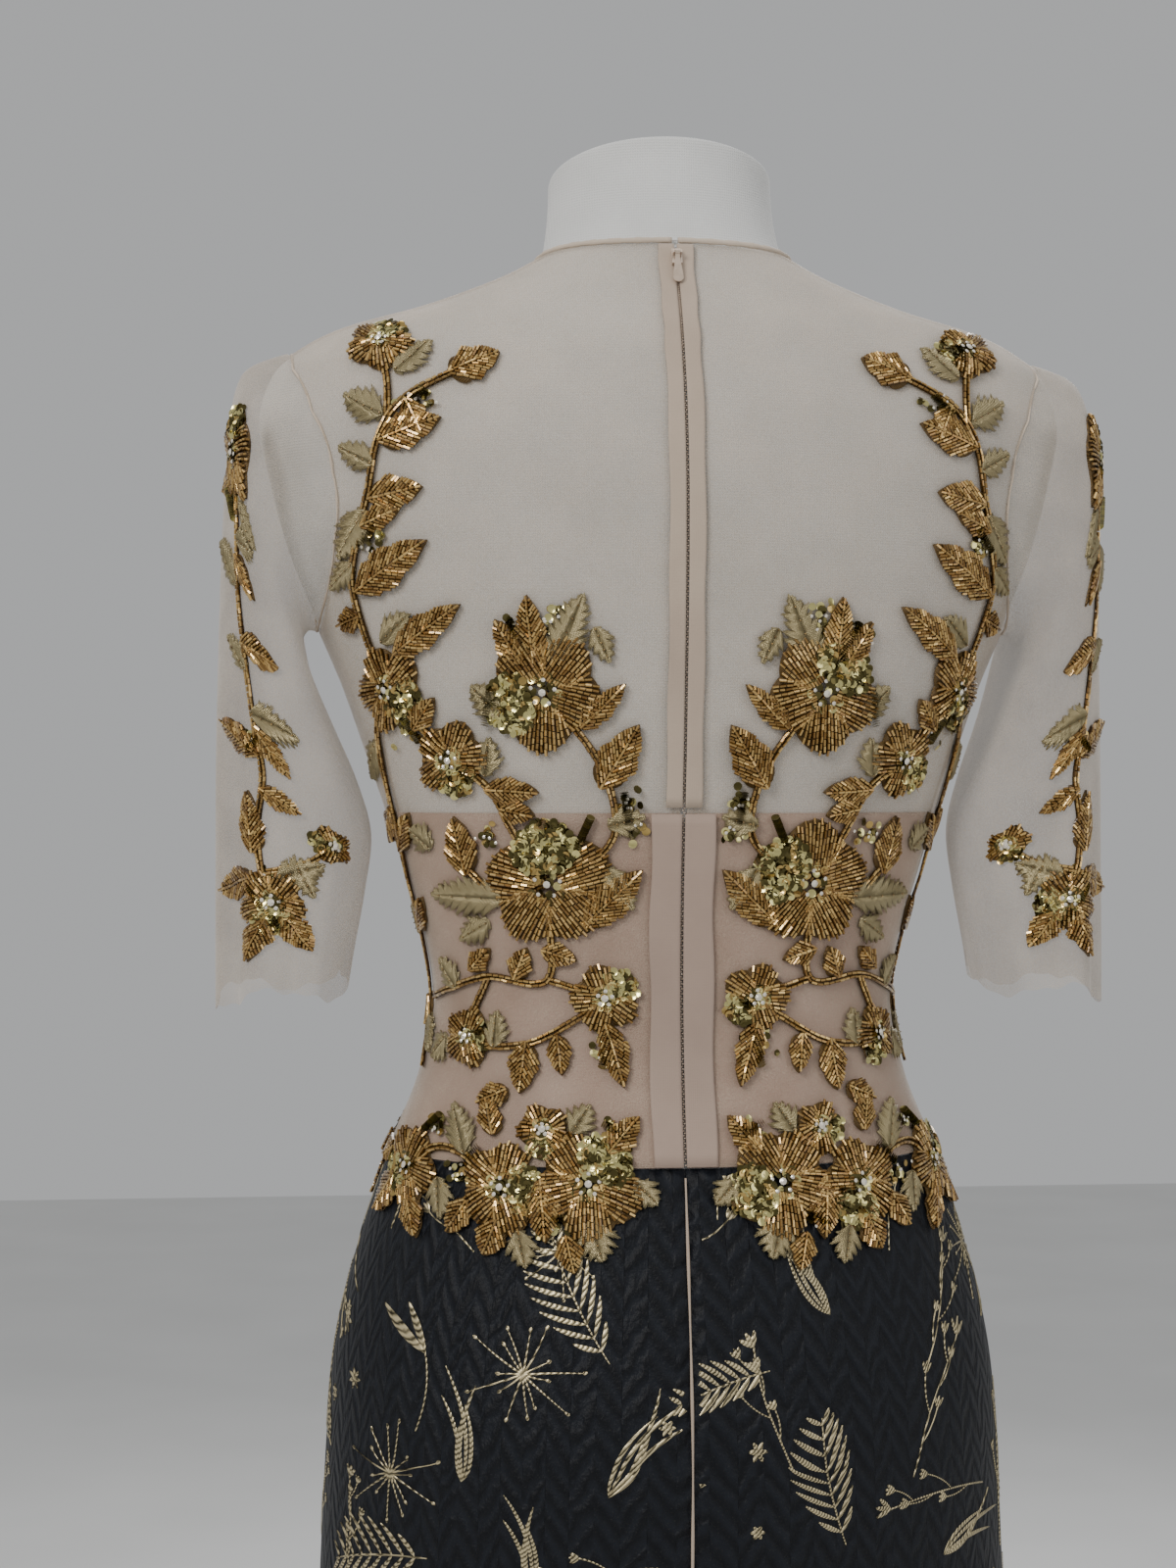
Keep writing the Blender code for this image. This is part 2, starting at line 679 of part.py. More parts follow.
def add_placket(body):
    """Tapes beside the zip, wider bands over the lining, and the coil between them."""
    low = lambda row: net_out(row) + TAPE_LIFT
    high = lambda row: net_out(row) + TAPE_LIFT + TAPE_WALL
    inner_edge = lambda row: body.column_at(row, TAPE_IN)
    tape_rows = [LINING_ROW + 0.1, *range(LINING_ROW + 1, NECK_ROW + 1)]
    tape = wall(body, tape_rows, [inner_edge, lambda row: body.column_at(row, TAPE_HALF)], low, high)
    add_pair("zip_tape", tape, "nude_zip")
    band_rows = list(range(SEAM_ROW, LINING_ROW + 1))
    band = wall(body, band_rows, [inner_edge, lambda row: body.column_at(row, BAND_HALF)], low, high)
    add_pair("placket_band", band, "nude_zip")
    coil_columns = [lambda row: -body.column_at(row, COIL_HALF), lambda row: body.column_at(row, COIL_HALF)]
    coil_rows = [*range(SEAM_ROW, NECK_ROW - 1), SLIDER_ROW]
    coil = wall(body, coil_rows, coil_columns, net_in, lambda row: net_out(row) + 0.2 * MM)
    add_object("zip_coil", *coil, "nude_zip")


class SliderFrame:
    """Across, up and out from the pin that the tab swings on."""

    def __init__(self, body):
        self.up = body.at(SLIDER_ROW, 0, 0) - body.at(SLIDER_ROW - 0.5, 0, 0)
        self.up /= np.linalg.norm(self.up)
        self.out = np.cross((-1, 0, 0), self.up)
        tape_top = net_out(SLIDER_ROW) + TAPE_LIFT + TAPE_WALL
        self.pin = body.at(SLIDER_ROW, 0, 0) + self.out * (tape_top + PIN_ABOVE_TAPE)

    def place(self, across, up, out):
        return self.pin + np.array((across, 0, 0)) + self.up * up + self.out * out

    def block(self, x_range, up_range, out_range):
        corners = [(x, u, o) for o in out_range for u in up_range for x in x_range]
        faces = [(0, 1, 3, 2), (4, 6, 7, 5), (0, 4, 5, 1), (1, 5, 7, 3), (3, 7, 6, 2), (2, 6, 4, 0)]
        return [self.place(*corner) for corner in corners], faces

    def rod(self, radius, half, sides):
        points = []
        for x in (-half, half):
            for k in range(sides):
                angle = 2 * math.pi * k / sides
                points.append(self.place(x, radius * math.cos(angle), radius * math.sin(angle)))
        faces = [tuple(range(sides)), tuple(range(sides, 2 * sides))]
        for k in range(sides):
            after = (k + 1) % sides
            faces.append((k, after, after + sides, k + sides))
        return points, faces


def joined(name, first, others, finish, operation="UNION", origin=(0, 0, 0)):
    """The first shape with the others fused on, or cut away."""
    piece = add_object(name, *first, finish, smooth=False, origin=origin)
    for index, shape in enumerate(others):
        tool = add_object(f"{name}_tool_{index}", *shape, finish, smooth=False)
        tool.hide_render = True
        tool.display_type = "WIRE"
        boolean = piece.modifiers.new(f"shape_{index}", "BOOLEAN")
        boolean.operation = operation if isinstance(operation, str) else operation[index]
        boolean.solver = "EXACT"
        boolean.object = tool
    return piece


def add_slider(body):
    frame = SliderFrame(body)
    block = frame.block((-BLOCK_HALF, BLOCK_HALF), (-BLOCK_BELOW, BLOCK_ABOVE), (-BLOCK_BACK, -BLOCK_FACE))
    ears = [
        frame.block(sorted((side * EAR_IN, side * EAR_OUT)), (-EAR_HALF_HIGH, EAR_HALF_HIGH),
                    (-BLOCK_FACE - 0.3 * MM, EAR_HALF_HIGH))
        for side in (-1, 1)
    ]
    joined("zip_slider", block, ears + [frame.rod(PIN_RADIUS, PIN_HALF, 10)], "nude_lacquer")


def add_pull_tab(body):
    """A teardrop plate that hangs on the slider's pin by an eye, leaning on the tape."""
    frame = SliderFrame(body)
    lean = math.radians(TAB_LEAN)
    down = -frame.up * math.cos(lean) - frame.out * math.sin(lean)
    face = frame.out * math.cos(lean) - frame.up * math.sin(lean)
    top = (EYE_IN + EYE_OUT) / 2
    outline = [(-EYE_HALF, top), (-EYE_HALF, top + 2.0 * MM)]
    middle = TAB_LENGTH - TAB_HALF_WIDE
    for step in range(9):
        angle = math.pi * step / 8
        outline.append((-TAB_HALF_WIDE * math.cos(angle), middle + TAB_HALF_WIDE * math.sin(angle)))
    outline += [(EYE_HALF, top + 2.0 * MM), (EYE_HALF, top)]
    count = len(outline)
    plate = [
        frame.pin + np.array((x, 0, 0)) + down * away + face * side
        for side in (-TAB_HALF_WALL, TAB_HALF_WALL)
        for x, away in outline
    ]
    sides = [(k, (k + 1) % count, (k + 1) % count + count, k + count) for k in range(count)]
    plate_faces = [tuple(range(count)), tuple(range(count, 2 * count))] + sides
    eye = frame.rod(EYE_OUT, EYE_HALF, 14)
    hole = frame.rod(EYE_IN, 2 * EYE_HALF, 14)
    joined("zip_pull_tab", (plate, plate_faces), [eye, hole], "nude_lacquer",
           operation=("UNION", "DIFFERENCE"), origin=tuple(frame.pin))


# Applique motifs, in millimetres: how far round the cloth from the centre line, and how high
Flower = namedtuple("Flower", "across climb radius turn")
Leaf = namedtuple("Leaf", "across climb tip_across tip_climb width")
PETALS = 5

# Where a triangle is tested against the surface under it, as shares of its corners
SAMPLE_STEPS = 10
SAMPLES = [
    (i / SAMPLE_STEPS, j / SAMPLE_STEPS, 1 - (i + j) / SAMPLE_STEPS)
    for i in range(SAMPLE_STEPS + 1)
    for j in range(SAMPLE_STEPS + 1 - i)
]

BODICE_FLOWERS = (
    Flower(154, 1388, 19, 10),
    Flower(156, 1211, 22, 30),
    Flower(119, 1175, 20, 0),
    Flower(71, 1208, 31, 18),
    Flower(67, 1112, 33, 50),
    Flower(38, 1053, 18, 36),
    Flower(112, 1031, 16, 0),
)
BODICE_LEAVES = (
    Leaf(118, 1366, 92, 1379, 17),
    Leaf(152, 1346, 174, 1358, 13),
    Leaf(155, 1333, 122, 1344, 15),
    Leaf(161, 1305, 132, 1310, 15),
    Leaf(163, 1300, 182, 1276, 14),
    Leaf(171, 1260, 130, 1284, 17),
    Leaf(150, 1228, 113, 1252, 14),
    Leaf(66, 1222, 51, 1257, 14),
    Leaf(76, 1222, 80, 1256, 13),
    Leaf(42, 1160, 23, 1192, 17),
    Leaf(38, 1141, 19, 1146, 11),
    Leaf(110, 1116, 118, 1146, 15),
    Leaf(49, 1090, 20, 1119, 16),
    Leaf(90, 1104, 136, 1106, 14),
    Leaf(100, 1160, 72, 1158, 11),
    Leaf(84, 1062, 78, 1079, 11),
    Leaf(120, 1056, 134, 1072, 11),
    Leaf(38, 1040, 29, 1008, 12),
    Leaf(78, 1030, 82, 1004, 13),
)
BODICE_STEMS = (
    ((154, 1388), (150, 1362), (150, 1345)),
    ((116, 1367), (143, 1353), (156, 1333), (162, 1308), (169, 1285), (174, 1262), (166, 1232), (156, 1211)),
    ((156, 1211), (119, 1175)),
    ((119, 1175), (98, 1160), (84, 1136), (67, 1112)),
    ((71, 1208), (48, 1181), (37, 1160), (35, 1135), (54, 1115)),
    ((67, 1100), (67, 1062), (99, 1063), (124, 1056), (146, 1050)),
    ((67, 1062), (38, 1053)),
    ((112, 1121), (92, 1106), (67, 1112)),
    ((99, 1063), (112, 1031), (78, 1029), (46, 1046)),
)
SIDE_LEAVES = (
    Leaf(169, 1184, 186, 1166, 13),
    Leaf(164, 1150, 178, 1132, 13),
    Leaf(160, 1128, 148, 1148, 12),
    Leaf(158, 1100, 171, 1083, 12),
    Leaf(156, 1085, 145, 1104, 11),
    Leaf(157, 1050, 166, 1032, 12),
    Leaf(157, 1040, 148, 1020, 12),
)
SIDE_STEMS = (
    ((156, 1211), (167, 1190), (165, 1160), (160, 1128), (158, 1096), (156, 1070), (158, 1040), (154, 1012)),
)
HIP_FLOWERS = (
    Flower(48, 960, 28, 20),
    Flower(92, 957, 23, 0),
    Flower(70, 986, 14, 30),
    Flower(150, 963, 21, 12),
)
HIP_LEAVES = (
    Leaf(38, 975, 22, 994, 12),
    Leaf(48, 944, 42, 924, 15),
    Leaf(72, 962, 70, 932, 15),
    Leaf(94, 942, 102, 925, 14),
    Leaf(112, 972, 120, 998, 13),
    Leaf(148, 950, 141, 930, 13),
    Leaf(160, 958, 180, 938, 14),
)
HIP_STEMS = (
    ((92, 957), (112, 972), (132, 974), (150, 963)),
    ((70, 986), (80, 970)),
    ((70, 986), (60, 972)),
)
SLEEVE_FLOWERS = (
    Flower(50, 1350, 23, 8),
    Flower(98, 1150, 13, 0),
    Flower(66, 1106, 19, 25),
)
SLEEVE_LEAVES = (
    Leaf(56, 1250, 86, 1258, 14),
    Leaf(58, 1212, 90, 1217, 15),
    Leaf(60, 1206, 78, 1184, 12),
    Leaf(56, 1132, 51, 1166, 14),
    Leaf(68, 1120, 94, 1136, 13),
    Leaf(64, 1096, 56, 1070, 14),
    Leaf(72, 1100, 90, 1079, 14),
    Leaf(54, 1280, 22, 1290, 13),
    Leaf(62, 1190, 26, 1198, 13),
    Leaf(56, 1118, 24, 1108, 13),
)
SLEEVE_STEMS = (
    ((50, 1350), (54, 1320), (53, 1282), (56, 1250), (59, 1212), (62, 1180), (58, 1150), (60, 1125), (66, 1106)),
    ((62, 1122), (84, 1134), (98, 1150)),
)


def flower_outline(flower):
    """A round flower of notched petals, raised at its middle."""
    edge = []
    steps = (0.66, 0.97, 1.0)
    for k in range(PETALS * len(steps)):
        angle = math.radians(flower.turn) + 2 * math.pi * k / (PETALS * len(steps))
        reach = flower.radius * steps[k % len(steps)]
        edge.append((flower.across + reach * math.cos(angle), flower.climb + reach * math.sin(angle)))
    return edge, [((flower.across, flower.climb), APPLIQUE_CROWN)]


def leaf_outline(leaf):
    """A pointed leaf, raised at its middle."""
    along = np.array((leaf.tip_across - leaf.across, leaf.tip_climb - leaf.climb), float)
    beside = np.array((-along[1], along[0])) / np.linalg.norm(along) * leaf.width / 2
    root = np.array((leaf.across, leaf.climb))
    shape = ((0.0, 0.35), (0.40, 1.0))
    left = [root + along * share + beside * wide for share, wide in shape]
    right = [root + along * share - beside * wide for share, wide in reversed(shape)]
    edge = [tuple(p) for p in left + [root + along] + right]
    return edge, [(tuple(root + along * 0.40), APPLIQUE_CROWN * 0.8)]


def stem_outline(route):
    """A strip along a stem, its corners mitred and its ends a little over the route's own."""
    route = np.array(route, float)
    steps = np.diff(route, axis=0)
    steps /= np.linalg.norm(steps, axis=1, keepdims=True)
    route[0] -= steps[0]
    route[-1] += steps[-1]
    left, right = [], []
    for index, place in enumerate(route):
        before, after = steps[max(index - 1, 0)], steps[min(index, len(steps) - 1)]
        ahead = (before + after) / np.linalg.norm(before + after)
        wide = STEM_WIDE / MM / 2 / before.dot(ahead)
        beside = np.array((-ahead[1], ahead[0])) * wide
        left.append(tuple(place + beside))
        right.append(tuple(place - beside))
    return left + right[::-1], []


def lifts_over(surface, flat, triangles, skin_out):
    """How far each corner is raised so that the flat triangles clear the round surface."""
    lift = [0] * len(flat)
    for triangle in triangles:
        places = [np.array(flat[index]) * MM for index in triangle]
        corners = [surface.spot(*place, skin_out) for place in places]
        centre = sum(places) / 3
        outward = surface.spot(*centre, skin_out, MM) - surface.spot(*centre, skin_out)
        outward /= np.linalg.norm(outward)
        short = 0
        for shares in SAMPLES:
            middle = sum(share * place for share, place in zip(shares, places))
            flat_point = sum(share * corner for share, corner in zip(shares, corners))
            short = max(short, (surface.spot(*middle, skin_out) - flat_point).dot(outward))
        for index in triangle:
            lift[index] = max(lift[index], short)
    return lift


def open_edges_of(triangles):
    """The directed edges that only one triangle has."""
    seen = {}
    for triangle in triangles:
        for a, b in zip(triangle, triangle[1:] + triangle[:1]):
            key = (min(a, b), max(a, b))
            seen[key] = None if key in seen else (a, b)
    return [edge for edge in seen.values() if edge]


def loops_of(edges):
    """Closed loops of indices from directed edges."""
    after = dict(edges)
    loops = []
    while after:
        loop = [next(iter(after))]
        while loop[-1] in after:
            loop.append(after.pop(loop[-1]))
        loops.append(loop[:-1])
    return loops


def thinned(loop):
    """The loop without the corners that hardly bend it."""
    kept = list(loop)
    index = 0
    while index < len(kept) and len(kept) > 3:
        before, here = np.array(kept[index - 1]), np.array(kept[index])
        chord = np.array(kept[(index + 1) % len(kept)]) - before
        off = abs(chord[0] * (here - before)[1] - chord[1] * (here - before)[0])
        if off / np.linalg.norm(chord) < OUTLINE_SLACK:
            kept.pop(index)
        else:
            index += 1
    return kept


def merged_outlines(shapes):
    """The loops round the union of the shapes, holes included."""
    points, edges, loops = [], [], []
    for edge, _ in shapes:
        loop = list(range(len(points), len(points) + len(edge)))
        points += edge
        edges += list(zip(loop, loop[1:] + loop[:1]))
        loops.append(loop)
    merged = delaunay_2d_cdt(points, edges, loops, 1, MERGE_WITHIN)
    filled = [face for face, source in zip(merged[2], merged[5]) if source]
    return [thinned([tuple(merged[0][i]) for i in loop]) for loop in loops_of(open_edges_of(filled))]


def inside(place, loops):
    """Whether a place is inside an odd number of loops."""
    odd = False
    for loop in loops:
        for (x0, y0), (x1, y1) in zip(loop, loop[1:] + loop[:1]):
            if (y0 > place[1]) != (y1 > place[1]):
                odd ^= place[0] < x0 + (place[1] - y0) * (x1 - x0) / (y1 - y0)
    return odd


def relief(surface, flowers, leaves, stems, skin_out):
    """The motifs as one solid on the surface, their outlines merged and their middles raised."""
    shapes = [flower_outline(flower) for flower in flowers]
    shapes += [leaf_outline(leaf) for leaf in leaves]
    shapes += [stem_outline(route) for route in stems]
    outlines = merged_outlines(shapes)
    points, edges = [], []
    for outline in outlines:
        loop = list(range(len(points), len(points) + len(outline)))
        points += outline
        edges += list(zip(loop, loop[1:] + loop[:1]))
    heights = {}
    for _, crown in shapes:
        for point, height in crown:
            heights[len(points)] = height
            points.append(point)
    flat, _, triangles, sources, _, _ = delaunay_2d_cdt(points, edges, [], 0, MERGE_WITHIN)
    tops = [max([heights.get(index, 0) for index in source] + [0]) for source in sources]
    middles = [np.mean([flat[index] for index in triangle], axis=0) for triangle in triangles]
    triangles = [face for face, middle in zip(triangles, middles) if inside(middle, outlines)]
    rim = open_edges_of(triangles)
    used = sorted({index for triangle in triangles for index in triangle})
    order = {index: place for place, index in enumerate(used)}
    lift = lifts_over(surface, flat, triangles, skin_out)
    low, high = [], []
    for index in used:
        place = (flat[index][0] * MM, flat[index][1] * MM)
        base = APPLIQUE_CLEAR + lift[index]
        low.append(surface.spot(*place, skin_out, base))
        high.append(surface.spot(*place, skin_out, base + max(APPLIQUE_EDGE, tops[index])))
    layer = len(used)
    faces = []
    for triangle in triangles:
        a, b, c = (order[index] for index in triangle)
        faces += [(c, b, a), (a + layer, b + layer, c + layer)]
    for start, end in rim:
        a, b = order[start], order[end]
        faces += [(a, b, b + layer), (a, b + layer, a + layer)]
    return low + high, faces


def add_appliques(body, sleeve):
    front_body = Surface(np.roll(body.rings, -HALF, axis=1), body.climb, from_front=True)
    cover = lambda row: max(net_out(row), SKIRT_OUT + 0.3 * MM)
    back = relief(body, BODICE_FLOWERS, BODICE_LEAVES + SIDE_LEAVES,
                  BODICE_STEMS + SIDE_STEMS, net_out)
    add_pair("applique_back", back, "gold_beadwork")
    front = relief(front_body, BODICE_FLOWERS, BODICE_LEAVES, BODICE_STEMS, net_out)
    add_object("applique_front_left", mirrored(front[0]), front[1], "gold_beadwork")
    add_object("applique_front_right", *front, "gold_beadwork")
    hip = relief(body, HIP_FLOWERS, HIP_LEAVES, HIP_STEMS, cover)
    add_pair("applique_hip_back", hip, "gold_beadwork")
    front_hip = relief(front_body, HIP_FLOWERS, HIP_LEAVES, HIP_STEMS, cover)
    add_object("applique_hip_front_left", mirrored(front_hip[0]), front_hip[1], "gold_beadwork")
    add_object("applique_hip_front_right", *front_hip, "gold_beadwork")
    on_sleeve = relief(sleeve, SLEEVE_FLOWERS, SLEEVE_LEAVES, SLEEVE_STEMS, lambda row: 0)
    add_pair("applique_sleeve", on_sleeve, "gold_beadwork")


def main():
    clear_scene()
    body, skirt, sleeve = form_surface(), skirt_surface(), sleeve_surface()
    add_stand()
    add_form(body)
    add_bodice(body)
    add_lining(body)
    add_skirt(skirt)
    add_sleeves(sleeve)
    add_binding(body)
    add_placket(body)
    add_slider(body)
    add_pull_tab(body)
    add_appliques(body, sleeve)


if __name__ == "__main__":
    main()
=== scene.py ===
"""Looks of the beaded gown on its dress form: sheer net, bead work, lining, brocade and jersey.

Metres, +Z up, in the CAD model's own frame. The gown's back faces +Y, the wearer's left is +X.
The cloth follows the same ring tables as the solids, drawn much finer.
"""

import math
from collections import namedtuple

import bpy
import numpy as np
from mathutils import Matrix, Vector


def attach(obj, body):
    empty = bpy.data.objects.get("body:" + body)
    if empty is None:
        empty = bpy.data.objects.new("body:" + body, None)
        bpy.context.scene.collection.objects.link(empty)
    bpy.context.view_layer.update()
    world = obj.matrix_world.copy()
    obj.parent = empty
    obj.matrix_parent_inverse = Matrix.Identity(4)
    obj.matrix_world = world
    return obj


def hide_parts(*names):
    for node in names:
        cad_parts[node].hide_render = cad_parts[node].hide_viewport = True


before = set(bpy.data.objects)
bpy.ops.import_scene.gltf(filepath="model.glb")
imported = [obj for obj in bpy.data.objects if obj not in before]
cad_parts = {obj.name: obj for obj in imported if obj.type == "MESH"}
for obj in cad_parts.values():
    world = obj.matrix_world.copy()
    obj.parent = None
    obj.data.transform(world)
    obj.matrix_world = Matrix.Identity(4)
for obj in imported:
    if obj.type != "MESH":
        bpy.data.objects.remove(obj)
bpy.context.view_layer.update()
MM = 0.001
BODY = "gown"

# camera: level, behind the gown and a little to the wearer's left
CAMERA_AT = Vector((0.1711, 1.3901, 1.1616))
CAMERA_LOOK = Vector((-0.0941, -0.9956, 0.0))
camera_data = bpy.data.cameras.new("camera")
camera_data.sensor_width = 36
camera_data.lens = 59.85
camera = bpy.data.objects.new("camera", camera_data)
camera.location = CAMERA_AT
camera.rotation_euler = CAMERA_LOOK.to_track_quat("-Z", "Y").to_euler()
bpy.context.collection.objects.link(camera)
bpy.context.scene.camera = camera

# the ring tables that the solids were made from
HEM, SKIRT_SEAM, LINING_TOP, FORM_BOTTOM = 0.015, 0.969, 1.147, 0.700
Section = namedtuple("Section", "height side front back dip")
FORM_SECTIONS = (
    Section(FORM_BOTTOM, 0.1790, 0.1050, 0.1180, 0),
    Section(0.7410, 0.1805, 0.1070, 0.1210, 0),
    Section(0.8230, 0.1765, 0.1085, 0.1235, 0),
    Section(0.8710, 0.1715, 0.1060, 0.1180, 0),
    Section(0.9200, 0.1595, 0.1010, 0.1070, 0),
    Section(SKIRT_SEAM, 0.1430, 0.0955, 0.0945, 0),
    Section(1.0050, 0.1285, 0.0915, 0.0855, 0),
    Section(1.0450, 0.1200, 0.0890, 0.0800, 0),
    Section(1.0800, 0.1245, 0.0915, 0.0800, 0),
    Section(1.1130, 0.1345, 0.0965, 0.0830, 0),
    Section(LINING_TOP, 0.1450, 0.1030, 0.0880, 0),
    Section(1.1800, 0.1570, 0.1085, 0.0940, 0),
    Section(1.2150, 0.1700, 0.1120, 0.0990, 0),
    Section(1.2500, 0.1850, 0.1100, 0.1030, 0),
    Section(1.2850, 0.1990, 0.1030, 0.1050, 0),
    Section(1.3200, 0.2085, 0.0930, 0.1040, 0),
    Section(1.3520, 0.2145, 0.0820, 0.0975, 0),
    Section(1.3760, 0.2080, 0.0730, 0.0885, 0),
    Section(1.3880, 0.1950, 0.0685, 0.0830, 0),
    Section(1.3995, 0.1740, 0.0680, 0.0770, 0.008),
    Section(1.4115, 0.1340, 0.0672, 0.0695, 0.018),
    Section(1.4270, 0.0940, 0.0666, 0.0610, 0.033),
    Section(1.4395, 0.0700, 0.0655, 0.0550, 0.043),
)
SEAM_ROW, LINING_ROW, SHOULDER_ROW = 5, 10, 16
NECK_ROW = len(FORM_SECTIONS) - 1
SKIRT_FALL = (
    Section(HEM, 0.2540, 0.2080, 0.2440, 0),
    Section(0.0600, 0.2480, 0.1990, 0.2330, 0),
    Section(0.1300, 0.2350, 0.1800, 0.2100, 0),
    Section(0.2100, 0.2200, 0.1590, 0.1850, 0),
    Section(0.3000, 0.2060, 0.1400, 0.1620, 0),
    Section(0.4000, 0.1950, 0.1250, 0.1440, 0),
    Section(0.5200, 0.1880, 0.1160, 0.1320, 0),
    Section(0.6400, 0.1840, 0.1110, 0.1260, 0),
)
Fold = namedtuple("Fold", "degrees spread depth top")
SKIRT_FOLDS = (
    Fold(0, 13, -0.006, 0.62), Fold(27, 14, 0.013, 0.60), Fold(52, 12, -0.008, 0.52),
    Fold(76, 14, 0.014, 0.66), Fold(103, 13, -0.007, 0.50), Fold(127, 14, 0.012, 0.58),
    Fold(153, 13, -0.008, 0.46), Fold(180, 15, 0.009, 0.55), Fold(208, 13, -0.007, 0.50),
    Fold(233, 14, 0.013, 0.60), Fold(258, 13, -0.008, 0.54), Fold(283, 14, 0.014, 0.64),
    Fold(308, 12, -0.008, 0.48), Fold(333, 14, 0.012, 0.58),
)
CAD_COLUMNS = 28
SQUARENESS = 2.2
BUST_OUT, BUST_APART, BUST_HEIGHT, BUST_SPREAD = 0.020, 0.082, 1.205, 0.040

GAP = 0.3 * MM
NET_WALL, NET_OVER_FORM, NET_OVER_LINING = 1.0 * MM, 0.5 * MM, 1.8 * MM
OPENING_HALF, TAPE_HALF, TAPE_IN, BAND_HALF = 1.6 * MM, 9.0 * MM, 0.8 * MM, 16.0 * MM
SLIDER_ROW = 21.3
TAPE_OUT = 1.4 * MM
ARM_Z, ARM_HALF_Z, ARM_HALF_Y, ARM_Y = 1.3150, 0.0725, 0.0590, 0.0040
Ring = namedtuple("Ring", "outer_x outer_z inner_x inner_z half_depth bow")
SLEEVE_RINGS = (
    Ring(0.2195, 1.3805, 0.1915, 1.2370, 0.0610, 0.0080),
    Ring(0.2262, 1.3700, 0.1895, 1.2290, 0.0620, 0.0030),
    Ring(0.2300, 1.3500, 0.1865, 1.2180, 0.0620, 0),
    Ring(0.2325, 1.3150, 0.1810, 1.2050, 0.0610, 0),
    Ring(0.2345, 1.2700, 0.1735, 1.1880, 0.0590, 0),
    Ring(0.2355, 1.2200, 0.1625, 1.1620, 0.0560, 0),
    Ring(0.2360, 1.1700, 0.1555, 1.1350, 0.0530, 0),
    Ring(0.2355, 1.1200, 0.1590, 1.1050, 0.0530, 0),
    Ring(0.2350, 1.0800, 0.1645, 1.0760, 0.0550, 0),
    Ring(0.2345, 1.0500, 0.1680, 1.0560, 0.0570, 0),
)

# how fine the shown cloth is drawn
FINE = 6
FINE_COLUMNS = CAD_COLUMNS * FINE
SLEEVE_FINE = 140


def resampled(values, steps):
    """A smooth curve through the rows of an array, with so many points to each gap."""
    rows = np.asarray(values, float)
    padded = np.concatenate([[2 * rows[0] - rows[1]], rows, [2 * rows[-1] - rows[-2]]])
    out = []
    for k in range(len(rows) - 1):
        p0, p1, p2, p3 = padded[k:k + 4]
        for t in np.arange(steps) / steps:
            out.append(0.5 * (2 * p1 + (p2 - p0) * t + (2 * p0 - 5 * p1 + 4 * p2 - p3) * t**2
                              + (3 * p1 - p0 - 3 * p2 + p3) * t**3))
    out.append(rows[-1])
    return np.array(out)


class Skin:
    """Fine rings of points, lowest first. Column 0 runs up the middle of the side that faces out.

    A place is a row and a signed column, or a distance round from column 0 and a climb.
    """

    def __init__(self, rings, climb):
        self.rings = np.asarray(rings, float)
        self.climb = np.asarray(climb, float)
        self.high, self.columns = self.rings.shape[:2]
        self.half = self.columns // 2
        round_step = np.roll(self.rings, -1, 1) - np.roll(self.rings, 1, 1)
        normals = np.cross(round_step, np.gradient(self.rings, axis=0))
        normals /= np.linalg.norm(normals, axis=2, keepdims=True)
        if ((self.rings - self.rings.mean(axis=1, keepdims=True)) * normals).sum() < 0:
            normals = -normals
        self.normals = normals
        self.reach = {}
        for sign in (1, -1):
            order = [(sign * k) % self.columns for k in range(self.half + 1)]
            steps = np.linalg.norm(np.diff(self.rings[:, order], axis=1), axis=2)
            self.reach[sign] = np.concatenate([np.zeros((self.high, 1)), np.cumsum(steps, axis=1)], axis=1)

    def row_at(self, climb):
        return np.interp(climb, self.climb, np.arange(self.high))

    def column_at(self, row, across):
        """Signed columns at distances round from column 0, on real-numbered rows."""
        row, across = np.broadcast_arrays(np.asarray(row, float), np.asarray(across, float))
        low = np.clip(np.floor(row).astype(int), 0, self.high - 2)
        up = (row - low)[..., None]
        reach = np.where((across < 0)[..., None],
                         self.reach[-1][low] * (1 - up) + self.reach[-1][low + 1] * up,
                         self.reach[1][low] * (1 - up) + self.reach[1][low + 1] * up)
        far = np.abs(across)[..., None]
        near = np.clip((reach <= far).sum(axis=-1) - 1, 0, self.half - 1)
        start = np.take_along_axis(reach, near[..., None], -1)[..., 0]
        end = np.take_along_axis(reach, near[..., None] + 1, -1)[..., 0]
        return np.where(across < 0, -1, 1) * (near + (np.abs(across) - start) / (end - start))

    def at(self, row, column, out):
        """Points and normals at rows and signed columns, moved out."""
        row, column, out = np.broadcast_arrays(*(np.asarray(v, float) for v in (row, column, out)))
        low = np.clip(np.floor(row).astype(int), 0, self.high - 2)
        near = np.floor(column).astype(int)
        up, along = (row - low)[..., None], (column - near)[..., None]
        left, right = near % self.columns, (near + 1) % self.columns

        def mixed(grid):
            return ((grid[low, left] * (1 - along) + grid[low, right] * along) * (1 - up)
                    + (grid[low + 1, left] * (1 - along) + grid[low + 1, right] * along) * up)

        normal = mixed(self.normals)
        normal /= np.linalg.norm(normal, axis=-1, keepdims=True)
        return mixed(self.rings) + normal * out[..., None], normal

    def spot(self, across, climb, out):
        row = self.row_at(climb)
        return self.at(row, self.column_at(row, across), out)


def powered(values, power):
    return np.sign(values) * np.abs(values) ** power


